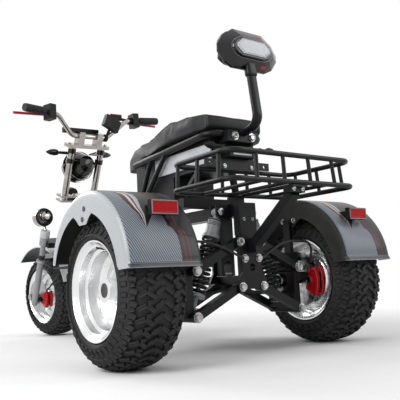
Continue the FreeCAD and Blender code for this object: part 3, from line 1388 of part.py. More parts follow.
def steering_column():
    """Lower yoke with its stem, and the double clamp, bright tubes and top clamp in one."""
    yoke_top = d.cap_low_s
    yoke = slab("yoke_plate", yoke_top - d.yoke_thick, d.yoke_thick, d.fork_x,
                d.fork_ahead - d.yoke_deep, d.fork_ahead + d.yoke_deep / 2)
    rooms = []
    for side, word in SIDES:
        low = on_axis(d.cap_low_s - d.yoke_thick * 2, d.fork_x * side, d.fork_ahead)
        high = on_axis(d.cap_low_s + d.yoke_thick, d.fork_x * side, d.fork_ahead)
        rooms.append(rod("yoke_room_" + word, low, high, d.cap_radius + d.seat_gap))
    bored = cut("yoke_bored", yoke, fuse("yoke_rooms", rooms))
    top_s = d.mid_clamp_s - d.seat_gap
    stem = rod("stem", on_axis(yoke_top - d.yoke_thick), on_axis(top_s), d.stem_radius)
    node("lower_yoke", fuse("lower_yoke", [bored, stem]), True)
    half = d.riser_x + d.clamp_end
    plates = []
    for word, low_s in (("low", d.mid_clamp_s), ("high", d.mid_clamp_s + d.mid_plate_thick + d.mid_plate_space)):
        plates.append(slab("mid_plate_" + word, low_s, d.mid_plate_thick, half, -d.clamp_reach, d.clamp_reach))
    for side, word in SIDES:
        low = on_axis(d.mid_clamp_s, d.riser_x * side)
        plates.append(rod("riser_" + word, low, on_axis(d.riser_top_s + d.overrun, d.riser_x * side),
                      d.riser_radius))
    top_low = d.riser_top_s
    top_plate = slab("top_plate", top_low, d.top_clamp_thick, half, -d.clamp_reach, d.clamp_reach)
    blocks = []
    for side, word in SIDES:
        base_s = top_low + d.top_clamp_thick - d.overrun
        x = d.bar_clamp_x * side
        turn = rake_rotation()
        centre_s = (base_s + bar_s() + d.bar_clamp_rise) / 2
        blocks.append(centred_box("bar_clamp_" + word, d.bar_clamp_wide, d.bar_clamp_half * 2,
                      bar_s() + d.bar_clamp_rise - base_s, on_axis(centre_s, x, bar_ahead()), turn))
    whole = fuse("steering_head_whole", plates + [top_plate] + blocks)
    node("steering_head", cut("steering_head", whole, bar_room()), True)


def bar_s():
    """How far up the steering axis the handlebar's middle lies."""
    return (d.bar_mid_y - d.axis_y) * math.sin(RAKE) + (d.bar_mid_z - d.axis_z) * math.cos(RAKE)


def bar_ahead():
    """How far ahead of the steering axis the handlebar's middle lies."""
    return (d.bar_mid_z - d.axis_z) * math.sin(RAKE) - (d.bar_mid_y - d.axis_y) * math.cos(RAKE)


def bar_room():
    """The room for the straight middle of the bar."""
    x = d.bar_clamp_x * 2
    return rod("bar_room", at(-x, d.bar_mid_y, d.bar_mid_z), at(x, d.bar_mid_y, d.bar_mid_z),
               d.bar_radius + d.seat_gap)


def bar_spot(x):
    """A point on the straight outer run of the left half of the bar."""
    share = (number(x) - number(d.bar_knee_x)) / number(d.bar_end_x - d.bar_knee_x)
    y = d.bar_knee_y + (d.bar_end_y - d.bar_knee_y) * share
    z = d.bar_knee_z + (d.bar_end_z - d.bar_knee_z) * share
    return at(x, y, z)


def handlebar():
    """The bent bar with grips, switch boxes and levers."""
    spots = [(d.bar_end_x, d.bar_end_y, d.bar_end_z), (d.bar_knee_x, d.bar_knee_y, d.bar_knee_z),
             (d.bar_mid_x, d.bar_mid_y, d.bar_mid_z)]
    left = [at(*spot) for spot in spots]
    points = left + [Vec(-point.x, point.y, point.z) for point in reversed(left)]
    node("handlebar", bent_tube("handlebar", points, d.bar_radius, [number(d.bar_bend)] * 4), True)
    gap = d.bar_radius + d.seat_gap
    grip = rod("grip_sleeve", bar_spot(d.grip_start_x), bar_spot(d.grip_end_x), d.grip_radius)
    room = rod("grip_room", bar_spot(d.grip_start_x - d.overrun), bar_spot(d.bar_end_x + d.seat_gap), gap)
    pair("grips", cut("grip", grip, room), True)
    middle = (d.switch_start_x + d.switch_end_x) / 2
    run = bar_spot(d.switch_end_x) - bar_spot(d.switch_start_x)
    turn = FreeCAD.Rotation(Vec(1, 0, 0), run)
    housing = centred_box("switch_block", d.switch_end_x - d.switch_start_x, d.switch_half * 2,
                          d.switch_rise * 2, bar_spot(middle), turn)
    hole = rod("switch_room", bar_spot(d.switch_start_x - d.overrun), bar_spot(d.switch_end_x + d.overrun), gap)
    switch = cut("switch_box", housing, hole)
    root = bar_spot(d.lever_root_x)
    fore = Vec(0, -number(d.switch_half + d.overrun), 0)
    perch_end = root + Vec(0, -number(d.lever_ahead), 0)
    tip = bar_spot(d.lever_tip_x) + Vec(0, -number(d.lever_reach), -number(d.lever_drop))
    root_radius = d.lever_radius + d.lever_root_wider
    pieces = [rod("lever_perch", root + fore, perch_end, root_radius),
              rod("lever_blade", perch_end, tip, d.lever_radius)]
    ball = doc.addObject("Part::Sphere", "lever_joint")
    bind(ball, "Radius", root_radius)
    ball.Placement = FreeCAD.Placement(perch_end, UPRIGHT)
    pair("levers", fuse("lever", pieces + [ball]), True)
    return [switch, mirrored("switch_box_right", switch)]


DISPLAY_FALL_SHARE = 0.48


def bar_controls(switches):
    """The display on its stalk, the fluid reservoir and the flat bar before them."""
    slope = math.degrees(math.atan(DISPLAY_FALL_SHARE))
    turn = FreeCAD.Rotation(Vec(0, 1, 0), -slope)
    centre = at(d.display_x, d.display_y, d.display_z)
    case = centred_box("display_case", d.display_wide, d.display_deep, d.display_high, centre, turn)
    root = at(-d.bar_mid_x, d.bar_mid_y, d.bar_mid_z)
    stalk = rod("display_stalk", root, centre, d.stalk_radius)
    clip = rod("display_clip", root, root + Vec(number(d.stalk_radius) * 2, 0, 0),
               d.bar_radius + d.stalk_radius)
    room = handlebar_room("display_bar_room")
    display = cut("display", fuse("display_whole", [case, stalk, clip]), room)
    tank_at = at(d.reservoir_x, d.reservoir_y, d.reservoir_z)
    tank = centred_box("reservoir_tank", d.reservoir_wide, d.reservoir_deep, d.reservoir_high, tank_at)
    perch = bar_spot(d.switch_start_x - d.stalk_radius - d.seat_gap * 2)
    perch = Vec(-perch.x, perch.y, perch.z)
    arm_rod = rod("reservoir_arm", tank_at, perch, d.stalk_radius)
    collar = rod("reservoir_collar", perch + Vec(number(d.stalk_radius), 0, 0),
                 perch - Vec(number(d.stalk_radius), 0, 0), d.bar_radius + d.stalk_radius)
    held = fuse("reservoir_whole", [tank, arm_rod, collar])
    reservoir = cut("reservoir", held, handlebar_room("reservoir_bar_room"))
    node("bar_controls", group("bar_controls", switches + [reservoir]), True)
    flat = box("dash_flat", d.dash_high_x - d.dash_low_x, d.dash_deep, d.dash_high,
               at(d.dash_low_x, d.dash_y - d.dash_deep / 2, d.dash_z - d.dash_high / 2))
    feet = []
    for side, word in SIDES:
        reach = bar_ahead() + d.bar_clamp_half + d.dash_foot_gap
        inner = on_axis(bar_s() + d.bar_clamp_half / 2, d.bar_clamp_x * side, reach)
        outer = Vec(inner.x, at(0, d.dash_y, 0).y, inner.z)
        feet.append(rod("dash_foot_" + word, inner, outer, d.stalk_radius))
    node("instruments", group("instruments", [display, fuse("dash_bar", [flat] + feet)]), True)


def handlebar_room(name):
    """The right half of the bar, a little larger, to cut what clasps it."""
    spots = [(-d.bar_end_x, d.bar_end_y, d.bar_end_z), (-d.bar_knee_x, d.bar_knee_y, d.bar_knee_z),
             (-d.bar_mid_x, d.bar_mid_y, d.bar_mid_z), (0, d.bar_mid_y, d.bar_mid_z)]
    points = [at(*spot) for spot in spots]
    return bent_tube(name, points, d.bar_radius + d.seat_gap, [number(d.bar_bend)] * 2)


SHELL_ROUND_SHARES = ((1.0, 0.0), (0.97, 0.30), (0.80, 0.60), (0.46, 0.80), (0.20, 0.92))


def headlamp():
    """A round lamp between the tubes, its bezel, lens and brackets, with the front signals."""
    centre = at(0, d.headlamp_y, d.headlamp_z)
    turn = FreeCAD.Rotation(Vec(0, 0, 1), -90)
    radius = d.headlamp_radius
    back, front = d.headlamp_back, d.headlamp_front
    rim_from = front - d.bezel_deep
    rear = [(-back * u, radius * r) for u, r in SHELL_ROUND_SHARES]
    points = rear + [(0, radius), (rim_from, radius), (rim_from, d.bezel_radius), (front, d.bezel_radius),
                     (front, radius), (rim_from + d.bezel_step, radius - d.overrun),
                     (rim_from + d.bezel_step, 0)]
    node("headlamp_shell", revolved("headlamp_shell", points, centre, turn), True)
    base = rim_from + d.lens_step
    lens = [(base, 0), (base, radius - d.overrun * 2), (front, radius - d.overrun * 2), (front + d.lens_dome, 0)]
    node("headlamp_lens", revolved("headlamp_lens", lens, centre, turn), True)
    inner = radius + d.seat_gap
    high_s = (d.front_signal_z - d.axis_z) / math.cos(RAKE)
    low_s = high_s - d.bracket_drop
    x = inner + d.bracket_thick / 2
    collar = d.riser_radius + d.bracket_thick / 2
    half = d.bracket_collar_high / 2
    pieces = [bar("bracket_low", on_axis(low_s, x), at(x, d.headlamp_y, d.headlamp_z),
                  d.bracket_high, d.bracket_thick),
              bar("bracket_high", on_axis(high_s, x), at(x, d.front_signal_y - d.front_signal_radius,
                  d.front_signal_z), d.bracket_high / 2, d.bracket_thick)]
    for word, s in (("low", low_s), ("high", high_s)):
        pieces.append(rod("bracket_collar_" + word, on_axis(s - half, d.riser_x),
                          on_axis(s + half, d.riser_x), collar))
    tube_room = rod("bracket_room", on_axis(0, d.riser_x), on_axis(d.riser_top_s, d.riser_x),
                    d.riser_radius + d.seat_gap)
    lamp_room = rod("bracket_lamp_room", at(0, d.headlamp_y - d.headlamp_front, d.headlamp_z),
                    at(0, d.headlamp_y + d.headlamp_back, d.headlamp_z), inner)
    tools = fuse("bracket_tools", [tube_room, lamp_room])
    bracket = cut("lamp_bracket", fuse("bracket_whole", pieces), tools)
    y, z = d.front_signal_y, d.front_signal_z
    near = x + d.bracket_thick / 2 + d.seat_gap
    stem = rod("front_signal_stem", at(near, y, z), at(d.front_signal_x + d.overrun, y, z), d.stalk_radius)
    body = bulb("front_signal", d.front_signal_x, d.front_signal_tip, d.front_signal_radius, y, z)
    signal = fuse("front_signal", [stem, body])
    twins = [mirrored("lamp_bracket_right", bracket), mirrored("front_signal_right", signal)]
    node("front_signals", group("front_signals", [bracket, signal] + twins), True)


def spot_lamps():
    """Two small round lamps on stems over the fork caps."""
    centre = at(d.fork_x, d.spot_y, d.spot_z)
    turn = FreeCAD.Rotation(Vec(0, 0, 1), -90)
    radius, back, front = d.spot_radius, d.spot_back, d.spot_front
    points = [(-back * u, radius * r) for u, r in SHELL_ROUND_SHARES]
    points += [(0, radius), (front, radius), (front, radius - d.fender_skin), (front - d.lens_dome, 0)]
    shell = revolved("spot_shell", points, centre, turn)
    foot = on_axis(d.cap_top_s + d.seat_gap, d.fork_x, d.fork_ahead)
    under = Vec(centre.x, centre.y, centre.z - number(radius) + number(d.weld_bite))
    stem = rod("spot_stem", foot, under, d.stalk_radius)
    cap = rod("spot_cap_room", on_axis(d.cap_low_s, d.fork_x, d.fork_ahead), foot, d.cap_radius + d.seat_gap)
    pair("spot_lamps", cut("spot_lamp", fuse("spot_lamp_whole", [shell, stem]), cap), True)


def fork():
    """Upside-down legs with caps, collars, sliders and forward lugs for the axle."""
    def spot(s, x=d.fork_x):
        return on_axis(s, x, d.fork_ahead)

    cap_foot = d.cap_low_s - d.yoke_foot_drop
    pieces = [rod("fork_cap", spot(cap_foot), spot(d.cap_top_s), d.cap_radius),
              rod("fork_tube", spot(d.collar_s), spot(d.cap_top_s - d.overrun), d.stanchion_radius),
              rod("fork_collar", spot(d.collar_s - d.collar_deep), spot(d.collar_s), d.collar_radius),
              rod("fork_slider", spot(d.slider_low_s), spot(d.collar_s - d.overrun), d.slider_radius)]
    x = d.axle_lug_inner
    thick = d.axle_lug_thick
    eye_in = at(x, -d.wheelbase, d.front_axle_rise)
    eye_out = at(x + thick, -d.wheelbase, d.front_axle_rise)
    axle_s = (-d.wheelbase - d.axis_y) * math.sin(RAKE) + (d.front_axle_rise - d.axis_z) * math.cos(RAKE)
    lug = bar("fork_lug", on_axis(axle_s, x + thick / 2, d.fork_ahead),
              at(x + thick / 2, -d.wheelbase, d.front_axle_rise), thick, d.axle_lug_wide)
    eye = rod("fork_eye", eye_in, eye_out, d.axle_lug_radius)
    hole = rod("fork_eye_bore", at(x - d.overrun, -d.wheelbase, d.front_axle_rise),
               at(x + thick + d.overrun, -d.wheelbase, d.front_axle_rise), d.front_axle_radius + d.seat_gap)
    whole = fuse("fork_leg_whole", pieces + [lug, eye])
    pair("fork_legs", cut("fork_leg", whole, hole), True)


FENDER_FRONT_ANGLE = 134.0
FENDER_REAR_ANGLE = 15.0


def front_fender():
    """A skin round the front wheel with turned edges, held at the fork's collars."""
    radius, half, skin = d.front_fender_radius, d.front_fender_half, d.fender_skin
    sweep = FENDER_FRONT_ANGLE - FENDER_REAR_ANGLE
    lip = d.front_fender_lip
    inner = radius - skin
    points = [(-half, radius - lip), (-half + skin, radius - lip), (-half + skin, inner), (half - skin, inner),
              (half - skin, radius - lip), (half, radius - lip), (half, radius), (-half, radius)]
    start = FreeCAD.Rotation(Vec(1, 0, 0), FENDER_REAR_ANGLE)
    body = revolved("front_fender_skin", points, at(0, -d.wheelbase, d.front_axle_rise), start, sweep)
    s = d.collar_s + d.collar_deep
    blocks = []
    for side, word in SIDES:
        wide = d.fork_x - d.stanchion_radius - half - d.seat_gap
        centre = on_axis(s, (half + wide / 2 - skin / 2) * side, d.fork_ahead)
        blocks.append(centred_box("fender_stay_" + word, wide + skin, d.collar_radius, d.collar_deep,
                                  centre, rake_rotation()))
    node("front_fender", fuse("front_fender", [body] + blocks), True)


FRONT_SLOT_SHARES = (0.42, 0.13)


def front_brake():
    """The front caliper round the rear of the disc, held by the left slider."""
    disc_x = d.front_disc_place + d.disc_thickness / 2
    wide, long, high = d.front_caliper_wide, d.front_caliper_long, d.front_caliper_high
    slot_share, shift_share = FRONT_SLOT_SHARES
    centre = at(disc_x, d.front_caliper_y, d.front_caliper_z)
    block = centred_box("front_caliper_block", wide, long, high, centre)
    slot = centred_box("front_caliper_slot", wide * slot_share, long, high + d.overrun,
                       at(disc_x, d.front_caliper_y - long * shift_share, d.front_caliper_z))
    lug_x = disc_x + wide * slot_share
    lug = box("front_caliper_lug", d.fork_x - d.slider_radius / 2 - lug_x, long * slot_share, high * slot_share,
              at(lug_x, d.front_caliper_y - long * shift_share, d.front_caliper_z))
    slider = rod("front_caliper_room", on_axis(d.slider_low_s - d.overrun, d.fork_x, d.fork_ahead),
                 on_axis(d.collar_s, d.fork_x, d.fork_ahead), d.slider_radius + d.seat_gap)
    whole = fuse("front_caliper_whole", [cut("front_caliper_open", block, slot), lug])
    node("front_caliper", cut("front_caliper", whole, slider), True)


def horn():
    """A round horn before the double clamp."""
    s = d.mid_clamp_s + d.horn_s
    near = on_axis(s, d.horn_x, d.clamp_reach + d.seat_gap)
    far = on_axis(s, d.horn_x, d.horn_ahead)
    drum_far = on_axis(s, d.horn_x, d.horn_ahead + d.horn_radius / 2)
    pieces = [rod("horn_stem", near, far, d.stalk_radius), rod("horn_drum", far, drum_far, d.horn_radius)]
    node("horn", fuse("horn", pieces), True)


# Cables, held all the way

FRONT_HOSE_PATH = ((100.0, -1330.0, 221.0), (100.0, -1262.0, 262.0), (104.0, -1185.0, 300.0),
                   (112.0, -1196.0, 452.0))
REAR_HOSE_PATH = ((292.0, 75.0, 280.5), (291.0, 84.0, 352.0), (160.0, 92.0, 356.0), (38.0, 105.1, 300.0))
MOTOR_CABLE_PATH = ((211.0, -18.0, 186.0), (120.0, -18.0, 186.0), (28.0, -18.0, 205.0))


CORD_BEND_SHARE = 0.45


def cord(name, path, radius):
    """A cable of straight runs and large tangent arcs; prints its bends and a volume check."""
    points = [at(*spot) for spot in path]
    bends = []
    for index in range(1, len(points) - 1):
        back = points[index - 1] - points[index]
        ahead = points[index + 1] - points[index]
        shorter = min(back.Length, ahead.Length)
        turn = math.pi - back.getAngle(ahead)
        bends.append(CORD_BEND_SHARE * shorter / math.tan(turn / 2))
    piece = bent_tube(name, points, radius, bends)
    length = tube_path(points, bends).Length
    ratio = piece.Shape.Volume / (math.pi * number(radius) ** 2 * length)
    print(name, "bends", [round(bend, 1) for bend in bends], "length", round(length, 1), "ratio", round(ratio, 4))
    return piece


def cables():
    """Brake hoses and motor cables."""
    node("front_hose", cord("front_hose", FRONT_HOSE_PATH, d.hose_radius), True)
    hose = cord("rear_hose", REAR_HOSE_PATH, d.hose_radius)
    motor = cord("motor_cable", MOTOR_CABLE_PATH, d.cable_radius)
    twins = [mirrored("rear_hose_right", hose), mirrored("motor_cable_right", motor)]
    node("rear_cables", group("rear_cables", [hose, motor] + twins))


def build():
    """Makes every sub-part."""
    rear_wheels()
    front_wheel()
    suspension_arms()
    knuckles()
    shocks()
    rear_calipers()
    centre_frame()
    columns()
    deck()
    neck()
    seat_parts()
    seat_ring()
    backrest()
    rear_lamps(rear_fenders())
    basket()
    steering_column()
    bar_controls(handlebar())
    headlamp()
    spot_lamps()
    fork()
    front_fender()
    front_brake()
    horn()
    cables()


def check_and_export():
    """Checks every object, then writes each sub-part."""
    doc.recompute()
    for piece in doc.Objects:
        bad = [word for word in piece.State if word in ("Invalid", "Error")]
        if bad:
            raise RuntimeError("%s is %s" % (piece.Label, bad))
    for label, piece in nodes.items():
        if piece.Shape.isNull() or not piece.Shape.isValid():
            raise RuntimeError("%s has no valid shape" % label)
    os.makedirs("parts", exist_ok=True)
    for label, piece in nodes.items():
        piece.Shape.exportStep("parts/" + label + ".step")


build()
check_and_export()
print(len(nodes), "nodes")
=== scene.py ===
import bpy
import bmesh
import math
import json
from mathutils import Vector, Matrix


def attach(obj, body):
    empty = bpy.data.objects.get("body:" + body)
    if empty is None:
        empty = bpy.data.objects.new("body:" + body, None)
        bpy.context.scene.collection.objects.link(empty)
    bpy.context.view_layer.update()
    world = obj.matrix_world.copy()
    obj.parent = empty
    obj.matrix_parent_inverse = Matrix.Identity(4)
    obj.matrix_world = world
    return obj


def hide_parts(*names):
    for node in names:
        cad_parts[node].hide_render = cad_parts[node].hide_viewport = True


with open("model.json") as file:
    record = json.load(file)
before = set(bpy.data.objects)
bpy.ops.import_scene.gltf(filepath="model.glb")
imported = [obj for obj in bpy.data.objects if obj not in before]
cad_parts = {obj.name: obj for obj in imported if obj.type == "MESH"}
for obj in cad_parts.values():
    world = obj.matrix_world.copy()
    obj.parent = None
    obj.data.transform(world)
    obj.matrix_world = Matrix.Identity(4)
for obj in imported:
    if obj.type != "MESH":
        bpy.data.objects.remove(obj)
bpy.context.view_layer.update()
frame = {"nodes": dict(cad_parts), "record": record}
NODES = frame["nodes"]

# Metres, +Z up, front towards -Y, rider's left +X. The rear axle lies at REAR_Y.
REAR_Y = 0.642
REAR_Z = 0.224
WHEELBASE = 1.420
TRACK_HALF = 0.410
FRONT_Y = REAR_Y - WHEELBASE
FRONT_Z = 0.20285
STEER_TURN = math.radians(8.2)
RAKE = math.radians(23.67)
STEER_FOOT = Vector((0.0, REAR_Y - 1.130, 0.671))
STEER_AXIS = Vector((0.0, math.sin(RAKE), math.cos(RAKE)))
STEER_AHEAD = Vector((0.0, -math.cos(RAKE), math.sin(RAKE)))
SIDES = ((1, "left"), (-1, "right"))
BACK, AHEAD, OUT, IN, UP = (0, 1, 0), (0, -1, 0), (1, 0, 0), (-1, 0, 0), (0, 0, 1)


def at(x, y, z):
    """A point whose y is counted from the rear axle, in metres."""
    return Vector((x, REAR_Y + y, z))


def steered(point):
    """The rest place of a point given with the steering straight ahead."""
    turn = Matrix.Rotation(STEER_TURN, 3, STEER_AXIS)
    return STEER_FOOT + turn @ (Vector(point) - STEER_FOOT)


def linear(code):
    """A colour of sRGB hex digits as linear values."""
    parts = [int(code[i:i + 2], 16) / 255 for i in (0, 2, 4)]
    return [p / 12.92 if p <= 0.04045 else ((p + 0.055) / 1.055) ** 2.4 for p in parts] + [1.0]


# Shader nodes

SKIN_INPUTS = {"bump": "Normal", "metal": "Metallic", "shine": "Specular IOR Level", "coat": "Coat Weight",
               "coat_rough": "Coat Roughness", "sheen": "Sheen Weight", "sheen_rough": "Sheen Roughness",
               "clear": "Transmission Weight", "ior": "IOR"}


def start_material(name):
    mat = bpy.data.materials.new(name)
    mat.use_nodes = True
    mat.node_tree.nodes.clear()
    return mat, mat.node_tree


def add(tree, kind, settings=None, inputs=None):
    """Adds a shader node; an input is a value or another node's output."""
    made = tree.nodes.new("ShaderNode" + kind)
    for key, value in (settings or {}).items():
        setattr(made, key, value)
    for key, value in (inputs or {}).items():
        socket = made.inputs[key]
        if isinstance(value, bpy.types.NodeSocket):
            tree.links.new(value, socket)
        else:
            socket.default_value = value
    return made


def finish_material(tree, colour, roughness, **more):
    """Ends a material in a principled skin; more names inputs by the words of SKIN_INPUTS."""
    inputs = {SKIN_INPUTS[word]: value for word, value in more.items()}
    skin = add(tree, "BsdfPrincipled", None, {"Base Color": colour, "Roughness": roughness, **inputs})
    out = add(tree, "OutputMaterial")
    tree.links.new(skin.outputs[0], out.inputs[0])


def place(tree, centre=(0, 0, 0)):
    """Object coordinates counted from a centre."""
    coords = add(tree, "TexCoord")
    return vector_sum(tree, "SUBTRACT", coords.outputs["Object"], centre).outputs[0]


def vector_sum(tree, operation, first, second):
    return add(tree, "VectorMath", {"operation": operation}, {0: first, 1: second})


def reckon(tree, operation, first, second):
    """One sum on two values, each a number or a node's output."""
    return add(tree, "Math", {"operation": operation}, {0: first, 1: second}).outputs[0]


def noise(tree, where, scale, detail=2.0, **more):
    return add(tree, "TexNoise", None, {"Vector": where, "Scale": scale, "Detail": detail, **more}).outputs[0]


def stripes(tree, where, scale):
    return add(tree, "TexWave", {"bands_direction": "X"}, {"Vector": where, "Scale": scale}).outputs["Fac"]


def cells(tree, where, scale, settings=None, **more):
    return add(tree, "TexVoronoi", settings, {"Vector": where, "Scale": scale, **more}).outputs[0]


def spread(tree, value, low, high, to_low=0.0, to_high=1.0):
    """A value mapped from one range to another and held inside it."""
    return add(tree, "MapRange", None, {0: value, 1: low, 2: high, 3: to_low, 4: to_high}).outputs[0]


def relief(tree, height, strength, distance):
    return add(tree, "Bump", None, {"Height": height, "Strength": strength, "Distance": distance}).outputs[0]


def chosen(tree, share, first, second):
    """The first colour where the share is 0 and the second where it is 1."""
    return add(tree, "Mix", {"data_type": "RGBA"}, {0: share, 6: first, 7: second}).outputs[2]


def ramp(tree, value, stops):
    """A colour ramp between hex colours, or a curve where the stops hold numbers."""
    made = add(tree, "ValToRGB", None, {0: value})
    band = made.color_ramp
    while len(band.elements) < len(stops):
        band.elements.new(0.5)
    for element, (spot, code) in zip(band.elements, stops):
        element.position = spot
        element.color = linear(code) if isinstance(code, str) else (code, code, code, 1)
    return made.outputs[0]


# Materials

CLOUD_SPAN = (0.3, 0.7)


def clouded(tree, cloud, code, dark):
    """Two close tones in soft patches."""
    low, high = CLOUD_SPAN
    return ramp(tree, cloud, [(low, dark), (high, code)])


def coated_steel(name, code, dark, rough=0.38, pit=900.0, shine=0.5):
    """Powder-coated steel: even colour, fine orange peel, a little dust on top."""
    mat, tree = start_material(name)
    where = place(tree)
    cloud = noise(tree, where, 9.0, 4.0)
    gloss = spread(tree, cloud, *CLOUD_SPAN, rough - 0.05, rough + 0.07)
    peel = relief(tree, noise(tree, where, pit), 0.12, 0.0003)
    finish_material(tree, clouded(tree, cloud, code, dark), gloss, bump=peel, shine=shine)
    return mat


def moulded_plastic(name, code, dark, rough=0.5, grain=700.0, coat=0.0, shine=0.5):
    """Moulded ABS: fine leather-like grain, or smooth and coated."""
    mat, tree = start_material(name)
    where = place(tree)
    cloud = noise(tree, where, 14.0, 3.0)
    gloss = spread(tree, cloud, *CLOUD_SPAN, rough - 0.06, rough + 0.06)
    grainy = relief(tree, cells(tree, where, grain), 0.10, 0.0003)
    finish_material(tree, clouded(tree, cloud, code, dark), gloss, bump=grainy, coat=coat, coat_rough=0.05,
                    shine=shine)
    return mat


def plated(name, code, rough=0.08):
    """Chrome plate: bright, darker in soft patches, its gloss varying over the same patches."""
    mat, tree = start_material(name)
    plate_patches = noise(tree, place(tree), 40.0, 5.0)
    gloss = spread(tree, plate_patches, 0.35, 0.75, rough * 0.6, rough * 2.0)
    finish_material(tree, ramp(tree, plate_patches, [(0.2, code), (0.9, "8d8884")]), gloss, metal=1.0)
    return mat


def turned_aluminium(name, centre, code="f2f2f2", rough=0.19):
    """Spun and polished aluminium: fine rings about the wheel's axis."""
    mat, tree = start_material(name)
    where = place(tree, centre)
    split = add(tree, "SeparateXYZ", None, {0: where})
    along, back, height = split.outputs
    squares = [reckon(tree, "MULTIPLY", way, way) for way in (back, height)]
    radius = add(tree, "Math", {"operation": "SQRT"}, {0: reckon(tree, "ADD", *squares)})
    spot = add(tree, "CombineXYZ", None, {0: radius.outputs[0], 1: along})
    rings = add(tree, "TexNoise", {"noise_dimensions": "2D"},
                {"Vector": spot.outputs[0], "Scale": 900.0, "Detail": 3.0}).outputs[0]
    gloss = spread(tree, noise(tree, where, 22.0, 3.0), *CLOUD_SPAN, rough * 0.8, rough * 1.5)
    tone = ramp(tree, rings, [(0.25, "dddedf"), (0.75, code)])
    finish_material(tree, tone, gloss, metal=1.0, bump=relief(tree, rings, 0.10, 0.0004))
    return mat


def tyre_rubber(name, code="121313", dust="232322"):
    """Vulcanised rubber: matt black with grey dust in the grain."""
    mat, tree = start_material(name)
    where = place(tree)
    grain = noise(tree, where, 420.0, 6.0, Roughness=0.7)
    colour = ramp(tree, noise(tree, where, 18.0, 5.0), [(0.35, code), (0.85, dust)])
    gloss = spread(tree, grain, *CLOUD_SPAN, 0.55, 0.85)
    finish_material(tree, colour, gloss, bump=relief(tree, grain, 0.35, 0.0006))
    return mat


def leatherette(name, code="1d1e20", dark="131416"):
    """Grained vinyl over foam: pebbled bump, soft sheen."""
    mat, tree = start_material(name)
    where = place(tree)
    pebble = cells(tree, where, 380.0, {"feature": "SMOOTH_F1"})
    colour = ramp(tree, noise(tree, where, 12.0, 4.0), [(0.3, dark), (0.75, code)])
    gloss = spread(tree, pebble, 0.0, 0.7, 0.42, 0.62)
    finish_material(tree, colour, gloss, bump=relief(tree, pebble, 0.4, 0.0006), sheen=0.05, sheen_rough=0.4,
                    shine=0.3)
    return mat


def clear_lens(name, code="dfe4e8"):
    """Moulded acrylic lens with shallow flutes."""
    mat, tree = start_material(name)
    flutes = stripes(tree, place(tree), 60.0)
    tint = ramp(tree, flutes, [(0.0, code), (1.0, "c3c9cf")])
    finish_material(tree, tint, 0.06, bump=relief(tree, flutes, 0.25, 0.001), clear=0.6, ior=1.49)
    return mat


def red_lens(name):
    """Red acrylic with a grid of small prisms."""
    mat, tree = start_material(name)
    grid = cells(tree, place(tree), 260.0, {"distance": "CHEBYCHEV"}, Randomness=0.0)
    colour = ramp(tree, grid, [(0.0, "c8121e"), (0.7, "8c0913")])
    finish_material(tree, colour, 0.15, bump=relief(tree, grid, 0.6, 0.001), shine=0.1, coat=0.04,
                    coat_rough=0.03)
    return mat


FRAME_BLACK = coated_steel("powder_coated_steel_black", "141517", "0c0d0f", 0.34, shine=0.22)
FORK_GREY = coated_steel("painted_fork_grey", "96989a", "85878a", 0.30)
FENDER_SKIN = coated_steel("painted_fender_grey", "7d8084", "6c6f73", 0.30)
CALIPER_RED = coated_steel("anodised_caliper_red", "c0101a", "970b14", 0.26, 500.0)
PLASTIC = moulded_plastic("moulded_abs_black", "151618", "0c0d0e", shine=0.2)
GLOSS = moulded_plastic("polished_abs_black", "0a0a0c", "060607", 0.16, 60.0, 0.35, 0.3)
SILVER = moulded_plastic("painted_abs_silver", "b9bdc2", "a6aab0", 0.28, 120.0, 0.6)
FENDER_INSIDE = moulded_plastic("moulded_fender_underside", "3c3c3a", "2d2d2b", 0.62, shine=0.2)
LAMP_RIM = moulded_plastic("smoked_acrylic_rim", "a18487", "7d6063", 0.3)
CHROME = plated("chrome_plate", "bdb7b1")
DISC = plated("ground_steel", "b9bbbe", 0.22)
BOLT_STEEL = plated("zinc_plated_steel", "c9cbcd", 0.25)
RUBBER = tyre_rubber("vulcanised_rubber")
SEAT = leatherette("grained_vinyl")
# The piping's light grey is a painted highlight along the seat's rounded corners.
PIPING_PAINTED_HIGHLIGHT = leatherette("piping_vinyl_painted_highlight", "56595b", "484b4d")
LENS = clear_lens("acrylic_lens_clear")
RED = red_lens("acrylic_lens_red")
RIMS = {
    "rear_rim_left": turned_aluminium("spun_aluminium_rear_left", at(TRACK_HALF, 0, REAR_Z)),
    "rear_rim_right": turned_aluminium("spun_aluminium_rear_right", at(-TRACK_HALF, 0, REAR_Z)),
    "front_rim": turned_aluminium("spun_aluminium_front", steered((0, FRONT_Y, FRONT_Z))),
}
SLOT_FINISH = {
    "frame_black": FRAME_BLACK, "fender_grey": FENDER_SKIN, "rim_polished": RIMS["front_rim"],
    "tyre_rubber": RUBBER, "disc_steel": DISC, "caliper_red": CALIPER_RED, "plastic_black": PLASTIC,
    "gloss_black": GLOSS, "seat_cover": SEAT, "chrome": CHROME, "fork_grey": FORK_GREY,
    "silver_plastic": SILVER, "red_lens": RED, "clear_lens": LENS, "grip_rubber": RUBBER,
    "steel": DISC, "deck_plastic": PLASTIC,
}


def dress(piece, *finishes):
    piece.data.materials.clear()
    for finish in finishes:
        piece.data.materials.append(finish)


for part in frame["record"]["subparts"]:
    dress(NODES[part["node"]], RIMS.get(part["node"], SLOT_FINISH[part["material_slot"]]))

# Shaping

WELD = 0.00002


def fresh():
    if bpy.context.object and bpy.context.object.mode != "OBJECT":
        bpy.ops.object.mode_set(mode="OBJECT")
    bpy.ops.object.select_all(action="DESELECT")


def only(*pieces):
    fresh()
    for piece in pieces:
        piece.select_set(True)
    bpy.context.view_layer.objects.active = pieces[0]


def settled(piece):
    """Moves an object's place and turn into its mesh."""
    only(piece)
    bpy.ops.object.transform_apply(location=True, rotation=True, scale=True)
    return piece


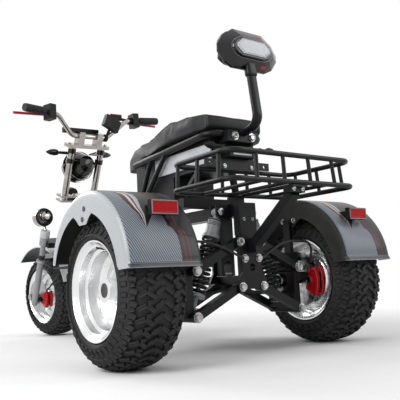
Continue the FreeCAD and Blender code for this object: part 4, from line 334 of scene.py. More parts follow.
def worked(piece, kind, **settings):
    """Adds a modifier and applies it."""
    only(piece)
    made = piece.modifiers.new(kind.lower(), kind)
    for key, value in settings.items():
        setattr(made, key, value)
    bpy.ops.object.modifier_apply(modifier=made.name)
    return piece


def bevelled(piece, width, steps=2, angle=30):
    """Rounds the edges that are sharper than the angle in degrees."""
    return worked(piece, "BEVEL", width=width, segments=steps, limit_method="ANGLE",
                  angle_limit=math.radians(angle))


def smooth(piece, degrees=35):
    only(piece)
    bpy.ops.object.shade_smooth_by_angle(angle=math.radians(degrees))
    return piece


def welded(piece, distance=0.0):
    """Joins vertices that meet, if a distance is given, and turns all faces outwards."""
    only(piece)
    bpy.ops.object.mode_set(mode="EDIT")
    bpy.ops.mesh.select_all(action="SELECT")
    if distance:
        bpy.ops.mesh.remove_doubles(threshold=distance)
    bpy.ops.mesh.normals_make_consistent(inside=False)
    bpy.ops.object.mode_set(mode="OBJECT")
    return piece


def joined(name, pieces):
    only(*pieces)
    if len(pieces) > 1:
        bpy.ops.object.join()
    made = bpy.context.object
    made.name = name
    return settled(made)


def copied(piece, turn):
    """A copy with its own mesh, moved by a matrix."""
    twin = piece.copy()
    twin.data = piece.data.copy()
    bpy.context.collection.objects.link(twin)
    twin.data.transform(turn)
    if turn.determinant() < 0:
        twin.data.flip_normals()
    return twin


def mirrored(piece):
    return copied(piece, Matrix.Diagonal((-1, 1, 1, 1)))


def to_rest(piece):
    """Turns a piece built straight ahead into the steering's rest place."""
    turn = Matrix.Translation(STEER_FOOT) @ Matrix.Rotation(STEER_TURN, 4, STEER_AXIS)
    piece.data.transform(turn @ Matrix.Translation(-STEER_FOOT))
    return piece


def block(name, centre, size, turn=(0, 0, 0), bevel=0.0, steps=2):
    """A box with rounded edges."""
    fresh()
    bpy.ops.mesh.primitive_cube_add(size=1.0, location=centre, rotation=turn)
    made = bpy.context.object
    made.name = name
    made.scale = size
    settled(made)
    return bevelled(made, bevel, steps) if bevel else made


def drum(name, start, end, radius, sides=32, bevel=0.0, steps=2):
    """A round bar with softened ends."""
    start, end = Vector(start), Vector(end)
    aim = (end - start).to_track_quat("Z", "Y").to_euler()
    fresh()
    bpy.ops.mesh.primitive_cylinder_add(vertices=sides, radius=radius, depth=(end - start).length,
                                        location=(start + end) / 2, rotation=aim)
    made = settled(bpy.context.object)
    made.name = name
    return bevelled(made, bevel, steps, 50) if bevel else made


def filled_ring(name, spots, fill="NGON"):
    """A flat closed outline through the spots, with one face or none."""
    fresh()
    bpy.ops.mesh.primitive_circle_add(vertices=len(spots), radius=1.0, fill_type=fill)
    made = bpy.context.object
    made.name = name
    for vertex, spot in zip(made.data.vertices, spots):
        vertex.co = spot
    return made


def spun(name, outline, centre, steps, axis=OUT):
    """A ring whose section of (along, radius) points is spun about an axis through centre."""
    along = Vector(axis).normalized()
    side = along.orthogonal().normalized()
    made = filled_ring(name, [Vector(centre) + along * u + side * r for u, r in outline], "NOTHING")
    bpy.ops.object.mode_set(mode="EDIT")
    bpy.ops.mesh.select_all(action="SELECT")
    bpy.ops.mesh.spin(steps=steps, angle=math.tau, center=centre, axis=along)
    bpy.ops.object.mode_set(mode="OBJECT")
    return settled(welded(made, WELD))


def inset_top(piece, direction, amount, depth, limit=0.8):
    """Insets the faces that look along a direction and sinks them."""
    only(piece)
    bpy.ops.object.mode_set(mode="EDIT")
    bpy.ops.mesh.select_mode(type="FACE")
    bpy.ops.mesh.select_all(action="DESELECT")
    mesh = bmesh.from_edit_mesh(piece.data)
    for face in mesh.faces:
        face.select = face.normal.dot(Vector(direction).normalized()) > limit
    bmesh.update_edit_mesh(piece.data)
    bpy.ops.mesh.inset(thickness=amount, depth=depth)
    bpy.ops.object.mode_set(mode="OBJECT")
    return piece


def shown(piece, body, slot, *nodes, finish=None):
    """Gives a finished piece the material of its slot or the finish given, puts it on its body and hides the
    nodes it stands for.
    """
    dress(piece, finish or SLOT_FINISH[slot])
    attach(piece, body)
    if nodes:
        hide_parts(*nodes)
    return piece


def placed(name, parts, body, slot, *nodes, angle=None, finish=None):
    """Joins parts into a finished piece, and turns what the steering carries to its rest place."""
    made = joined(name, parts)
    if angle:
        smooth(made, angle)
    if body in ("steering", "front_wheel"):
        to_rest(made)
    return shown(made, body, slot, *nodes, finish=finish)


def bolted(name, parts, body):
    return placed(name, parts, body, "steel", finish=BOLT_STEEL)


# Tyres

# Share of the half width and of the radius, from the middle of the tread to the bead
TREAD = ((0.0, 1.0), (0.28, 1.0), (0.47, 0.99), (0.60, 0.964), (0.70, 0.933), (0.79, 0.884),
         (0.887, 0.817), (0.943, 0.768), (1.0, 0.73), (1.0, 0.70))
# Share of the half width, shift along the pitch, length, width and turn of each block in one pitch
LUG_ROWS = ((0.125, -0.10, 0.031, 0.012, 0.60), (0.37, 0.18, 0.027, 0.012, -0.55),
            (0.40, -0.28, 0.014, 0.010, 0.2), (0.60, 0.10, 0.026, 0.012, 0.50),
            (0.79, -0.12, 0.025, 0.015, -0.22), (0.80, 0.34, 0.017, 0.010, 0.1),
            (0.945, 0.10, 0.020, 0.014, 0.0))
LUG_HEIGHT, LUG_SINK, LUG_BEVEL = 0.013, 0.0006, 0.0013
LUG_EDGE, LUG_DISH = 0.0024, 0.0018
LUG_MOVE = 0.004
CASING_DEEP, SHOULDER_SHARE = 0.010, 0.9
BEAD_WIDE = 0.013
REAR_TYRE = {"radius": REAR_Z, "half": 0.106, "lip": 0.142, "rim_half": 0.094, "bead": 0.1275, "pitches": 39}
FRONT_TYRE = {"radius": 0.1995, "half": 0.080, "lip": 0.139, "rim_half": 0.066, "bead": 0.1265, "pitches": 36}


def tread_place(share, half, radius):
    """The tread's radius and slope at a share of the half width."""
    for (u0, r0), (u1, r1) in zip(TREAD, TREAD[1:]):
        if share <= u1:
            part = (share - u0) / (u1 - u0)
            return radius * (r0 + (r1 - r0) * part), math.atan2(radius * (r0 - r1), half * (u1 - u0))


def lug(along, across, length, width, turn, radius, lean):
    """One rubber block on top of the tyre, its face sunk a little inside its edges."""
    made = block("lug", (0, 0, -LUG_HEIGHT / 2), (length, width, LUG_HEIGHT), bevel=LUG_BEVEL, steps=1)
    inset_top(made, UP, LUG_EDGE, -LUG_DISH)
    seat_it = Matrix.Translation((along, across, radius - LUG_SINK))
    made.data.transform(seat_it @ Matrix.Rotation(lean, 4, "Y") @ Matrix.Rotation(turn, 4, "Z"))
    return made


def tyre_outline(radius, half, lip, rim_half, bead):
    """The casing's closed section, (across, radius), under the blocks."""
    base = []
    for u, r in TREAD[1:-1]:
        narrow = CASING_DEEP * 0.7 if u > SHOULDER_SHARE else CASING_DEEP * 0.4 * u
        low = CASING_DEEP if u < SHOULDER_SHARE else CASING_DEEP * 0.5
        base.append((half * u - narrow, radius * r - low))
    base += [(half * 0.975, radius * 0.69), (rim_half + 0.002, lip + 0.012), (rim_half - 0.002, lip + 0.004),
             (rim_half - BEAD_WIDE, lip + 0.0005), (rim_half - BEAD_WIDE, bead)]
    inside = [(half * 0.62, bead + 0.006), (half * 0.80, radius * 0.72), (half * 0.45, radius * 0.88)]
    return [(-u, r) for u, r in reversed(base)] + base + inside + [(-u, r) for u, r in reversed(inside)]


def knobby_tyre(end, word, centre, radius, half, lip, rim_half, bead, pitches):
    """A casing with chevrons, zigzag blocks and shoulder bars at every pitch."""
    rows = [spun("casing", tyre_outline(radius, half, lip, rim_half, bead), centre, 120)]
    size = half / REAR_TYRE["half"]
    step = math.tau * radius / pitches
    lugs = []
    for side in (1, -1):
        for share, shift, long, wide, turn in LUG_ROWS:
            top, slope = tread_place(share, half, radius)
            inward = LUG_MOVE * size if share > SHOULDER_SHARE else 0.0
            lugs.append(lug(side * (half * share - inward), step * shift, long * size, wide, side * turn, top,
                            side * slope))
    one = joined("pitch", lugs)
    for index in range(pitches):
        roll = Matrix.Rotation(index * math.tau / pitches, 4, "X")
        rows.append(copied(one, Matrix.Translation(centre) @ roll))
    bpy.data.objects.remove(one)
    placed(end + "_tyre_lugged" + word, rows, end + "_wheel" + word, "tyre_rubber", end + "_tyre" + word,
           angle=30)


for side, word in SIDES:
    knobby_tyre("rear", "_" + word, at(TRACK_HALF * side, 0, REAR_Z), **REAR_TYRE)
knobby_tyre("front", "", Vector((0, FRONT_Y, FRONT_Z)), **FRONT_TYRE)

# Film of the rear fenders, with a painted highlight in its slash, on a map of metres across and metres round
# from the rear edge

FILM_RUN = 0.36
TWILL_LEAN = (0.896, -0.444, 0.0)
TWILL_SCALE = 50.0
TWILL = ((0.10, "464c56"), (0.5, "6d747e"), (0.90, "8d939c"))
# Where the slash runs, across in metres, and its colours from its left side to its right
SLASH_COURSE = ((0.28, 0.450), (0.40, 0.4545), (0.47, 0.4625), (0.57, 0.4665), (0.70, 0.4635), (0.77, 0.475),
                (0.84, 0.56))
# The pinkish-white stops at 0.695 and 0.76 are a painted highlight along the crown.
SLASH_TONES_WITH_HIGHLIGHT = ((0.0, "141518"), (0.18, "241013"), (0.22, "0e0f11"), (0.42, "0e0f11"), (0.50, "111216"),
         (0.515, "a9adb2"), (0.62, "b4b8bc"), (0.64, "151518"), (0.68, "151518"), (0.695, "e3c3c4"),
         (0.76, "e0b2b4"), (0.775, "4b1219"), (0.80, "0d0d10"))
SLASH_LEFT, SLASH_RIGHT, SLASH_EDGE = -0.10, 0.02, 0.008
SLASH_POINT, SLASH_FULL, POINT_SHARE = 0.098, 0.215, 0.02
SLASH_LOW, SLASH_OPEN = 0.100, 0.150
# Where the dark inner side ends, across in metres, and its colours from there inwards
BORDER = ((0.0, 0.3587), (0.19, 0.360), (0.26, 0.366), (0.29, 0.381), (0.42, 0.384))
INNER = ((0.0, "0c0c0e"), (0.10, "17090c"), (0.20, "5c1620"), (0.24, "1c0b0f"), (0.32, "100c0e"),
         (0.36, "6d1d27"), (0.39, "1a0d10"), (0.52, "131416"), (0.70, "232427"))
INNER_WIDE = 0.08
LIP_LOW, LIP_HIGH = -0.013, 0.001
LIP = ((0.0, "7d8187"), (0.22, "44474c"), (0.70, "232529"), (0.84, "6a6e74"), (0.95, "18191c"))


def slash_share(tree, even, around):
    """1 on the slash: right of the twill, above its point, and open to the left only high up."""
    inner = reckon(tree, "LESS_THAN", even, SLASH_EDGE)
    high = reckon(tree, "GREATER_THAN", around, SLASH_LOW)
    fan = reckon(tree, "GREATER_THAN", even, SLASH_LEFT)
    upper = reckon(tree, "GREATER_THAN", around, SLASH_OPEN)
    kept = reckon(tree, "MAXIMUM", fan, upper)
    return reckon(tree, "MULTIPLY", reckon(tree, "MULTIPLY", inner, high), kept)


def fender_film(name):
    """Printed film under clear coat: grey twill, a dark slash with pale grey and red lines and a
    pinkish-white line of painted highlight, a dark inner side.
    """
    mat, tree = start_material(name)
    spot = add(tree, "UVMap", {"uv_map": "UVMap"})
    split = add(tree, "SeparateXYZ", None, {0: spot.outputs[0]})
    across, around = split.outputs[0], split.outputs[1]
    run = spread(tree, around, 0.0, FILM_RUN)
    lean = vector_sum(tree, "DOT_PRODUCT", spot.outputs[0], TWILL_LEAN).outputs["Value"]
    twill = ramp(tree, stripes(tree, lean, TWILL_SCALE), TWILL)
    off = reckon(tree, "SUBTRACT", across, ramp(tree, run, SLASH_COURSE))
    even = reckon(tree, "DIVIDE", off, spread(tree, around, SLASH_POINT, SLASH_FULL, POINT_SHARE))
    slash = ramp(tree, spread(tree, even, SLASH_LEFT, SLASH_RIGHT), SLASH_TONES_WITH_HIGHLIGHT)
    colour = chosen(tree, slash_share(tree, even, around), twill, slash)
    inside = reckon(tree, "SUBTRACT", ramp(tree, run, BORDER), across)
    inner = ramp(tree, spread(tree, inside, 0.0, INNER_WIDE), INNER)
    colour = chosen(tree, reckon(tree, "GREATER_THAN", inside, 0.0), colour, inner)
    lip = ramp(tree, spread(tree, around, LIP_LOW, LIP_HIGH), LIP)
    colour = chosen(tree, reckon(tree, "LESS_THAN", around, LIP_HIGH), colour, lip)
    finish_material(tree, colour, 0.38, coat=0.12, coat_rough=0.08, shine=0.3)
    return mat


def flange_film(name):
    """The film's plain pale side: fine level stripes that read as light grey."""
    mat, tree = start_material(name)
    level = vector_sum(tree, "DOT_PRODUCT", place(tree), (0.0, 0.24, 0.97)).outputs["Value"]
    tone = ramp(tree, stripes(tree, level, 70.0), [(0.2, "999c9f"), (0.8, "afb2b5")])
    finish_material(tree, tone, 0.40, coat=0.2, coat_rough=0.08)
    return mat


# Rear fenders

FENDER_Y, FENDER_Z, FENDER_R = -0.005, 0.268, 0.240
FENDER_IN, FENDER_OUT = 0.2905, 0.5240
FENDER_MID = 0.407
FENDER_START, FENDER_END = math.radians(5.6), math.radians(170.2)
LIP_TURN, LIP_FLARE = math.radians(3.0), 0.0055
SHELL_THICK, SKIN_GAP = 0.0026, 0.0005
CORNER = 0.016
FLAT_SHARE, BEND_SHARE = 0.25, 0.125
MOUTH_Y, MOUTH_Z, MOUTH_R = -0.020, 0.247, 0.200
TAB_HALF, TAB_LOW, TAB_SLOPE = 0.058, 0.410, 0.030
STEPS_AROUND, STEPS_OVER = 120, 24
SIDEWAYS = 0.7


def mouth_radius(angle):
    """How far from the crown's centre the side flange ends, with its hanging tab."""
    ray = Vector((math.cos(angle), math.sin(angle)))
    offset = Vector((FENDER_Y - MOUTH_Y, FENDER_Z - MOUTH_Z))
    reach = -offset.dot(ray) + math.sqrt(offset.dot(ray) ** 2 - offset.length_squared + MOUTH_R ** 2)
    along = FENDER_Y + reach * ray.x - MOUTH_Y
    if abs(along) < TAB_HALF:
        low = (TAB_LOW - FENDER_Z) / ray.y
        reach += (low - reach) * min(1.0, (TAB_HALF - abs(along)) / TAB_SLOPE)
    return reach


def fender_section(share, rim):
    """Across and radius at a share of the way from the inner flange over the crown to the outer one."""
    top = FENDER_R - SKIN_GAP
    if share <= FLAT_SHARE:
        return FENDER_IN, rim + (top - CORNER - rim) * share / FLAT_SHARE
    if share <= FLAT_SHARE + BEND_SHARE:
        turn = (share - FLAT_SHARE) / BEND_SHARE * math.pi / 2
        return FENDER_IN + CORNER * (1 - math.cos(turn)), top - CORNER * (1 - math.sin(turn))
    if share < 1 - FLAT_SHARE - BEND_SHARE:
        part = (share - FLAT_SHARE - BEND_SHARE) / (1 - 2 * FLAT_SHARE - 2 * BEND_SHARE)
        return FENDER_IN + CORNER + (FENDER_OUT - FENDER_IN - 2 * CORNER) * part, top
    x, r = fender_section(1 - share, rim)
    return FENDER_IN + FENDER_OUT - x, r


def fender_sheet(name, side):
    """A grid rolled over the wheel; its map holds the place across and the run from the rear edge."""
    fresh()
    bpy.ops.mesh.primitive_grid_add(x_subdivisions=STEPS_AROUND, y_subdivisions=STEPS_OVER, size=1.0,
                                    calc_uvs=True)
    made = bpy.context.object
    made.name = name
    spots = {}
    for vertex in made.data.vertices:
        angle = FENDER_START - LIP_TURN + (FENDER_END - FENDER_START + LIP_TURN) * (vertex.co.x + 0.5)
        x, r = fender_section(vertex.co.y + 0.5, mouth_radius(angle))
        flare = max(0.0, (FENDER_START - angle) / LIP_TURN)
        r += LIP_FLARE * math.sin(flare * math.pi / 2)
        # Both fenders carry the same print, not a mirrored one.
        spots[vertex.index] = (x if side > 0 else 2 * FENDER_MID - x, (angle - FENDER_START) * FENDER_R)
        vertex.co = at(x * side, FENDER_Y + r * math.cos(angle), FENDER_Z + r * math.sin(angle))
    uv = made.data.uv_layers.active
    uv.name = "UVMap"
    for loop in made.data.loops:
        uv.data[loop.index].uv = spots[loop.vertex_index]
    return welded(made)


def fender_shell(word, side):
    """A rolled sheet with round shoulders, side flanges with tabs, and a flared rear lip."""
    made = fender_sheet("rear_fender_rolled_" + word, side)
    mesh = made.data
    centre = at(FENDER_MID * side, FENDER_Y, FENDER_Z)
    if sum(face.normal.dot(face.center - centre) for face in mesh.polygons) < 0:
        mesh.flip_normals()
    dress(made, FILM, FLANGE, FENDER_INSIDE)
    for face in mesh.polygons:
        outwards = face.normal.x * side
        face.material_index = 1 if outwards > SIDEWAYS and side > 0 else 0
        if outwards < -SIDEWAYS:
            face.material_index = 2
    worked(made, "SOLIDIFY", thickness=SHELL_THICK, offset=-1.0, material_offset=2, material_offset_rim=1)
    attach(made, "chassis")
    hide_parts("rear_fender_" + word)
    smooth(made, 40)


FILM = fender_film("printed_film_with_painted_highlight")
FLANGE = flange_film("printed_film_side")
for side, word in SIDES:
    fender_shell(word, side)

# Front fender


def front_fender_skin(name, centre):
    """Pale pressed sheet outside and black inside, told apart by which way the skin faces from the wheel."""
    mat, tree = start_material(name)
    coords = add(tree, "TexCoord")
    away = vector_sum(tree, "SUBTRACT", coords.outputs["Object"], centre).outputs[0]
    facing = vector_sum(tree, "DOT_PRODUCT", away, coords.outputs["Normal"]).outputs["Value"]
    outside = reckon(tree, "GREATER_THAN", facing, -0.02)
    pale = clouded(tree, noise(tree, coords.outputs["Object"], 9.0, 4.0), "c6c9cc", "b4b7bb")
    finish_material(tree, chosen(tree, outside, linear("2a2b2c"), pale), 0.4, shine=0.3)
    return mat


dress(NODES["front_fender"], front_fender_skin("front_fender_sheet", steered((0, FRONT_Y, FRONT_Z))))

# Bolts


def bolt(centre, axis, radius, tall):
    """A button-head bolt on a washer, with its socket sunk in the head."""
    washer = drum("washer", (0, 0, 0.0001), (0, 0, 0.0016), radius * 1.25, 20)
    head = drum("head", (0, 0, 0.0016), (0, 0, tall), radius, 20, 0.0018)
    inset_top(head, UP, radius * 0.30, -0.0022, 0.95)
    made = joined("bolt", [washer, head])
    turn = Vector(axis).normalized().to_track_quat("Z", "Y").to_matrix().to_4x4()
    made.data.transform(Matrix.Translation(Vector(centre)) @ turn)
    return made


def bolt_pairs(rows):
    """Each row's bolt and its twin on the other side."""
    heads = []
    for x, y, z, axis, radius, tall in rows:
        heads.append(bolt(at(x, y, z), axis, radius, tall))
        heads.append(bolt(at(-x, y, z), (-axis[0], axis[1], axis[2]), radius, tall))
    return heads


# Across, along, up, the way the head faces, the head's radius and its height
FRAME_BOLTS = (
    (0.044, 0.1008, 0.352, BACK, 0.0115, 0.009), (0.044, -0.0608, 0.352, AHEAD, 0.0115, 0.009),
    (0.044, 0.1008, 0.212, BACK, 0.0115, 0.009), (0.044, -0.0608, 0.212, AHEAD, 0.0115, 0.009),
    (0.211, 0.0925, 0.267, BACK, 0.0125, 0.010), (0.211, -0.0525, 0.267, AHEAD, 0.0125, 0.010),
    (0.215, 0.0925, 0.131, BACK, 0.0125, 0.010), (0.215, -0.0525, 0.131, AHEAD, 0.0125, 0.010),
    (0.029, 0.1008, 0.300, BACK, 0.0105, 0.008), (0.018, 0.0925, 0.425, BACK, 0.004, 0.003),
    (0.036, 0.095, 0.694, BACK, 0.011, 0.008), (0.057, 0.060, 0.600, BACK, 0.006, 0.004),
    (0.018, 0.3215, 0.4905, BACK, 0.0065, 0.005),
    (0.2903, 0.006, 0.432, IN, 0.0085, 0.0055), (0.2903, -0.046, 0.432, IN, 0.0085, 0.0055),
    (0.2903, -0.020, 0.418, IN, 0.0085, 0.0055),
)
FLANGE_BOLTS = (
    (0.5236, -0.0067, 0.4549, OUT, 0.0062, 0.0012), (0.5236, -0.0178, 0.4257, OUT, 0.0062, 0.0012),
)
bolted("chassis_bolts", bolt_pairs(FRAME_BOLTS), "chassis")
placed("fender_flange_bolts", bolt_pairs(FLANGE_BOLTS), "chassis", "gloss_black")

# Calipers, hub caps and axle ends

DISC_X, CALIPER_Z, CALIPER_R = TRACK_HALF - 0.106, REAR_Z - 0.006, 0.1085
HALF_OFF, HALF_THICK = 0.0120, 0.0145
LOBE_Y, LOBE_Z = 0.070, CALIPER_Z + 0.004
LOBE_FACE = DISC_X - 0.0245


def arched_plate(name, hub, thick, inner, outer, low, high, points=10):
    """A flat plate bent round an axle: a sector of a ring, with rounded edges."""
    spots = []
    for r, shares in ((outer, range(points)), (inner, range(points - 1, -1, -1))):
        for share in shares:
            angle = math.radians(low + (high - low) * (share / (points - 1)))
            spots.append(hub + Vector((0, r * math.cos(angle), r * math.sin(angle))))
    made = settled(filled_ring(name, spots))
    worked(made, "SOLIDIFY", thickness=thick, offset=0.0)
    return bevelled(made, 0.0028, 3, 40)


def rear_caliper():
    """Two arched halves, one each side of the disc, the inner one with a lobe and an ear."""
    inner = arched_plate("inner", at(DISC_X - HALF_OFF, 0, CALIPER_Z), HALF_THICK, 0.052,
                         CALIPER_R - 0.004, -31, 27)
    lobe = drum("lobe", at(DISC_X - 0.0190, LOBE_Y, LOBE_Z), at(LOBE_FACE, LOBE_Y, LOBE_Z), 0.0165, 28,
                0.0012)
    ear = block("ear", at(DISC_X - 0.0185, 0.084, CALIPER_Z + 0.040), (0.016, 0.018, 0.012), bevel=0.003)
    outer = arched_plate("outer", at(DISC_X + HALF_OFF, 0, CALIPER_Z), HALF_THICK, 0.058, CALIPER_R, -27, 30)
    return joined("cast", [inner, lobe, ear, outer])


def caliper_core():
    """The dark bridge over the disc, a black block that paints the shade of a slot in the outer half, and the
    bracket to the knuckle.
    """
    bridge = block("bridge", at(DISC_X, 0.0965, CALIPER_Z), (0.0120, 0.010, 0.060), bevel=0.002)
    # The slot is a thin black block on the outer half's edge: painted shade, with no opening behind it.
    slot = block("slot", at(DISC_X + HALF_OFF, CALIPER_R - 0.0012, CALIPER_Z), (0.0045, 0.003, 0.026),
                 bevel=0.0008)
    bracket = block("bracket", at(DISC_X - 0.040, 0.0555, REAR_Z + 0.0115), (0.052, 0.018, 0.029),
                    bevel=0.003)
    return joined("core", [bridge, slot, bracket])


def on_wheel(side, start, end, *shape):
    """A drum on a rear wheel's axis between two distances from the middle."""
    return drum("on_wheel", at(side * start, 0, REAR_Z), at(side * end, 0, REAR_Z), *shape)


cast, core = rear_caliper(), caliper_core()
cast_twin, core_twin = mirrored(cast), mirrored(core)
placed("rear_caliper_cast_left", [cast], "chassis", "caliper_red", "rear_calipers", angle=35)
placed("rear_caliper_cast_right", [cast_twin], "chassis", "caliper_red", angle=35)
placed("caliper_core_left", [core], "chassis", "frame_black")
placed("caliper_core_right", [core_twin], "chassis", "frame_black")
bolted("caliper_caps", bolt_pairs([(LOBE_FACE, LOBE_Y, LOBE_Z, IN, 0.0105, 0.0022)]), "chassis")
ends = []
for side, word in SIDES:
    cap = on_wheel(side, 0.4662, 0.4688, 0.0205, 40, 0.001)
    inset_top(cap, (side, 0, 0), 0.004, -0.0006, 0.95)
    placed("hub_cap_" + word, [cap], "rear_wheel_" + word, "gloss_black", angle=35)
    ends.append(on_wheel(side, 0.2090, 0.1960, 0.0240, 36, 0.002))
    ends.append(on_wheel(side, 0.1965, 0.1900, 0.0150, 6, 0.001, 1))
bolted("rear_axle_ends", ends, "chassis")

# Tail lamps

LAMP_X, LAMP_Y, LAMP_Z = 0.394, 0.2133, 0.438
LENS_SIZE = (0.0758, 0.0028, 0.0298)
RIM_HALF_WIDE, RIM_HALF_HIGH, RIM_BAR = 0.0402, 0.0175, 0.0036
STRIP_Y = 0.0855


def tail_lens(side):
    """A red box lens with softened edges, its face sunk a little inside its edge."""
    made = block("tail_lens", at(LAMP_X * side, LAMP_Y + 0.0005, LAMP_Z), LENS_SIZE, bevel=0.0012)
    return inset_top(made, BACK, 0.002, -0.0007, 0.95)


def lamp_rim(side):
    """Four smoked bars round a lens."""
    bars = []
    for way in (1, -1):
        bars.append(block("lamp_rim", at(LAMP_X * side, LAMP_Y, LAMP_Z + way * RIM_HALF_HIGH),
                          (0.084, 0.0026, RIM_BAR), bevel=0.0008))
    for way in (1, -1):
        bars.append(block("lamp_rim_end", at(LAMP_X * side + way * RIM_HALF_WIDE, LAMP_Y, LAMP_Z),
                          (RIM_BAR, 0.0026, 0.0314), bevel=0.0008))
    return bars


def strip(height, tall):
    return block("lamp_strip", at(0, STRIP_Y, height), (0.076, 0.0010, tall), bevel=0.0004)


placed("tail_lenses_moulded", [tail_lens(1), tail_lens(-1)], "chassis", "red_lens", "tail_lamp_lenses")
placed("tail_lamp_rims", lamp_rim(1) + lamp_rim(-1), "chassis", "silver_plastic", finish=LAMP_RIM)
placed("lamp_strip_red", [strip(0.6465, 0.0060)], "chassis", "red_lens")
placed("lamp_strip_pale", [strip(0.6370, 0.0052)], "chassis", "silver_plastic")

# Backrest shell

# Shares of the half width and of the height from the foot
SHELL = ((1.0, 0.37), (1.0, 0.54), (0.84, 0.78), (0.50, 1.0), (-0.50, 1.0), (-0.84, 0.78),
         (-1.0, 0.54), (-1.0, 0.37), (-0.80, 0.11), (-0.56, 0.0), (0.56, 0.0), (0.80, 0.11))
INSERT = ((1.0, 0.40), (1.0, 0.60), (0.66, 1.0), (-0.66, 1.0), (-1.0, 0.60), (-1.0, 0.40), (-0.66, 0.0),
          (0.66, 0.0))
REST_HALF, REST_HIGH, REST_MID = 0.1240, 0.1300, 0.9685
INSERT_HALF, INSERT_HIGH = 0.0698, 0.0490
RIM_BACK, DECK_FRONT, DECK_SHARE = 0.1420, 0.1635, 0.58
# Each layer's y, and its shares of the outline across and up
SHELL_LAYERS = ((0.1280, 0.95, 0.93), (0.1290, 0.985, 0.975), (0.1340, 1.0, 1.0), (RIM_BACK, 1.0, 1.0),
                (DECK_FRONT, 0.72, DECK_SHARE), (0.1640, 0.68, 0.53), (0.1625, 0.665, 0.515),
                (0.1695, 0.650, 0.495), (0.1708, 0.62, 0.46))
INSERT_LAYERS = ((0.1706, 0.97, 0.96), (0.1716, 1.0, 1.0), (0.1736, 1.0, 1.0), (0.1743, 0.96, 0.94),
                 (0.1738, 0.93, 0.90), (0.1746, 0.91, 0.87), (0.1752, 0.86, 0.80))
POST_LEAN = math.atan2(0.024, 0.186)
SOCKET_PLACE, SOCKET_SIZE = at(0, 0.1475, 0.906), (0.0425, 0.0265, 0.058)
REFLECTORS = ((-0.034, 1), (-0.052, -1))
REFLECTOR_SIZE = (0.020, 0.0012, 0.012)


def far_face(mesh, corners):
    """The full outline's face that lies farthest back."""
    return max((face for face in mesh.faces if len(face.verts) == corners),
               key=lambda face: face.calc_center_median().y)


def faceted(name, outline, half, high, layers):
    """A faceted block from its outline, scaled across and up about its middle at each layer."""
    y, wide, tall = layers[0]
    made = filled_ring(name, [at(half * u * wide, y, REST_MID + high * (v - 0.5) * tall) for u, v in outline])
    only(made)
    bpy.ops.object.mode_set(mode="EDIT")
    for (y0, wide0, tall0), (y1, wide1, tall1) in zip(layers, layers[1:]):
        bpy.ops.mesh.select_all(action="DESELECT")
        mesh = bmesh.from_edit_mesh(made.data)
        far_face(mesh, len(outline)).select = True
        bmesh.update_edit_mesh(made.data)
        bpy.ops.mesh.extrude_region_move(TRANSFORM_OT_translate={"value": (0, y1 - y0, 0)})
        bpy.ops.transform.resize(value=(wide1 / wide0, 1.0, tall1 / tall0),
                                 center_override=at(0, y1, REST_MID))
    return settled(welded(made))


def rest_reflectors():
    """A small red reflector on the shell's top facet and one on its lower facet."""
    parts = []
    drop = REST_HIGH / 2 * (1 - DECK_SHARE)
    slope = math.atan2(drop, DECK_FRONT - RIM_BACK)
    for x, up in REFLECTORS:
        chip = block("reflector", (0, 0, 0), REFLECTOR_SIZE, bevel=0.0004)
        tilt = Matrix.Rotation(up * (math.pi / 2 - slope), 4, "X")
        spot = at(x, (RIM_BACK + DECK_FRONT) / 2, REST_MID + up * (REST_HIGH / 2 - drop / 2))
        chip.data.transform(Matrix.Translation(spot) @ tilt)
        parts.append(chip)
    return parts


shell = bevelled(faceted("shell", SHELL, REST_HALF, REST_HIGH, SHELL_LAYERS), 0.0012, angle=14)
placed("backrest_shell_faceted", [shell], "chassis", "gloss_black", "backrest_shell", angle=25)
panel = bevelled(faceted("panel", INSERT, INSERT_HALF, INSERT_HIGH, INSERT_LAYERS), 0.0005, angle=12)
placed("backrest_insert_panel", [panel], "chassis", "silver_plastic", "backrest_insert", angle=25)
socket = block("socket", SOCKET_PLACE, SOCKET_SIZE, turn=(POST_LEAN, 0, 0), bevel=0.0110, steps=4)
placed("backrest_post_socket", [socket], "chassis", "frame_black", angle=35)
placed("backrest_reflectors", rest_reflectors(), "chassis", "caliper_red")

# Seat and backrest cushion

CLOTH_FRAMES = 20
COVER = {"quality": 4, "mass": 0.4, "tension_stiffness": 20, "compression_stiffness": 20,
         "bending_stiffness": 1.2, "use_pressure": True, "uniform_pressure_force": 4.0,
         "vertex_group_mass": "held"}
SEAT_HELD_Z, SEAT_HELD_X, REST_HELD_Y = 0.712, 0.12, 0.136
# The backrest's cushion is squeezed about the node's middle to the height of the shell.
CAD_REST_MID = at(0, 0, 0.9645)
REST_SQUEEZE = (1.04, 1.0, 0.73, 1.0)
PILE_LIFT, PIPING_R, PIPING_STEP = 0.0006, 0.0014, 0.008
# Along and up of the side seams' guide points, and the heights of the corner seams'
SIDE_SEAM = ((0.050, 0.768), (-0.028, 0.774), (-0.140, 0.779), (-0.186, 0.772), (-0.241, 0.758),
             (-0.298, 0.751), (-0.374, 0.753))
CORNER_SEAM = (0.768, 0.750, 0.735, 0.722)


def solid_copy(node, name, reshape):
    made = NODES[node].copy()
    made.data = made.data.copy()
    for key in list(made.keys()):
        del made[key]
    bpy.context.collection.objects.link(made)
    made.name = name
    welded(settled(made), 0.0002)
    made.data.transform(reshape)
    return made


def inflate(made, held):
    """Cloth pressure on a cover that is held where it meets its base."""
    pins = made.vertex_groups.new(name="held")
    pins.add([vertex.index for vertex in made.data.vertices if held(vertex.co)], 1.0, "REPLACE")
    only(made)
    cloth = made.modifiers.new("cover", "CLOTH")
    for key, value in COVER.items():
        setattr(cloth.settings, key, value)
    cloth.settings.effector_weights.gravity = 0.0
    cloth.point_cache.frame_start, cloth.point_cache.frame_end = 1, CLOTH_FRAMES
    for number in range(1, CLOTH_FRAMES + 1):
        bpy.context.scene.frame_set(number)
    bpy.ops.object.modifier_apply(modifier="cover")
    bpy.context.scene.frame_set(1)
    made.vertex_groups.clear()


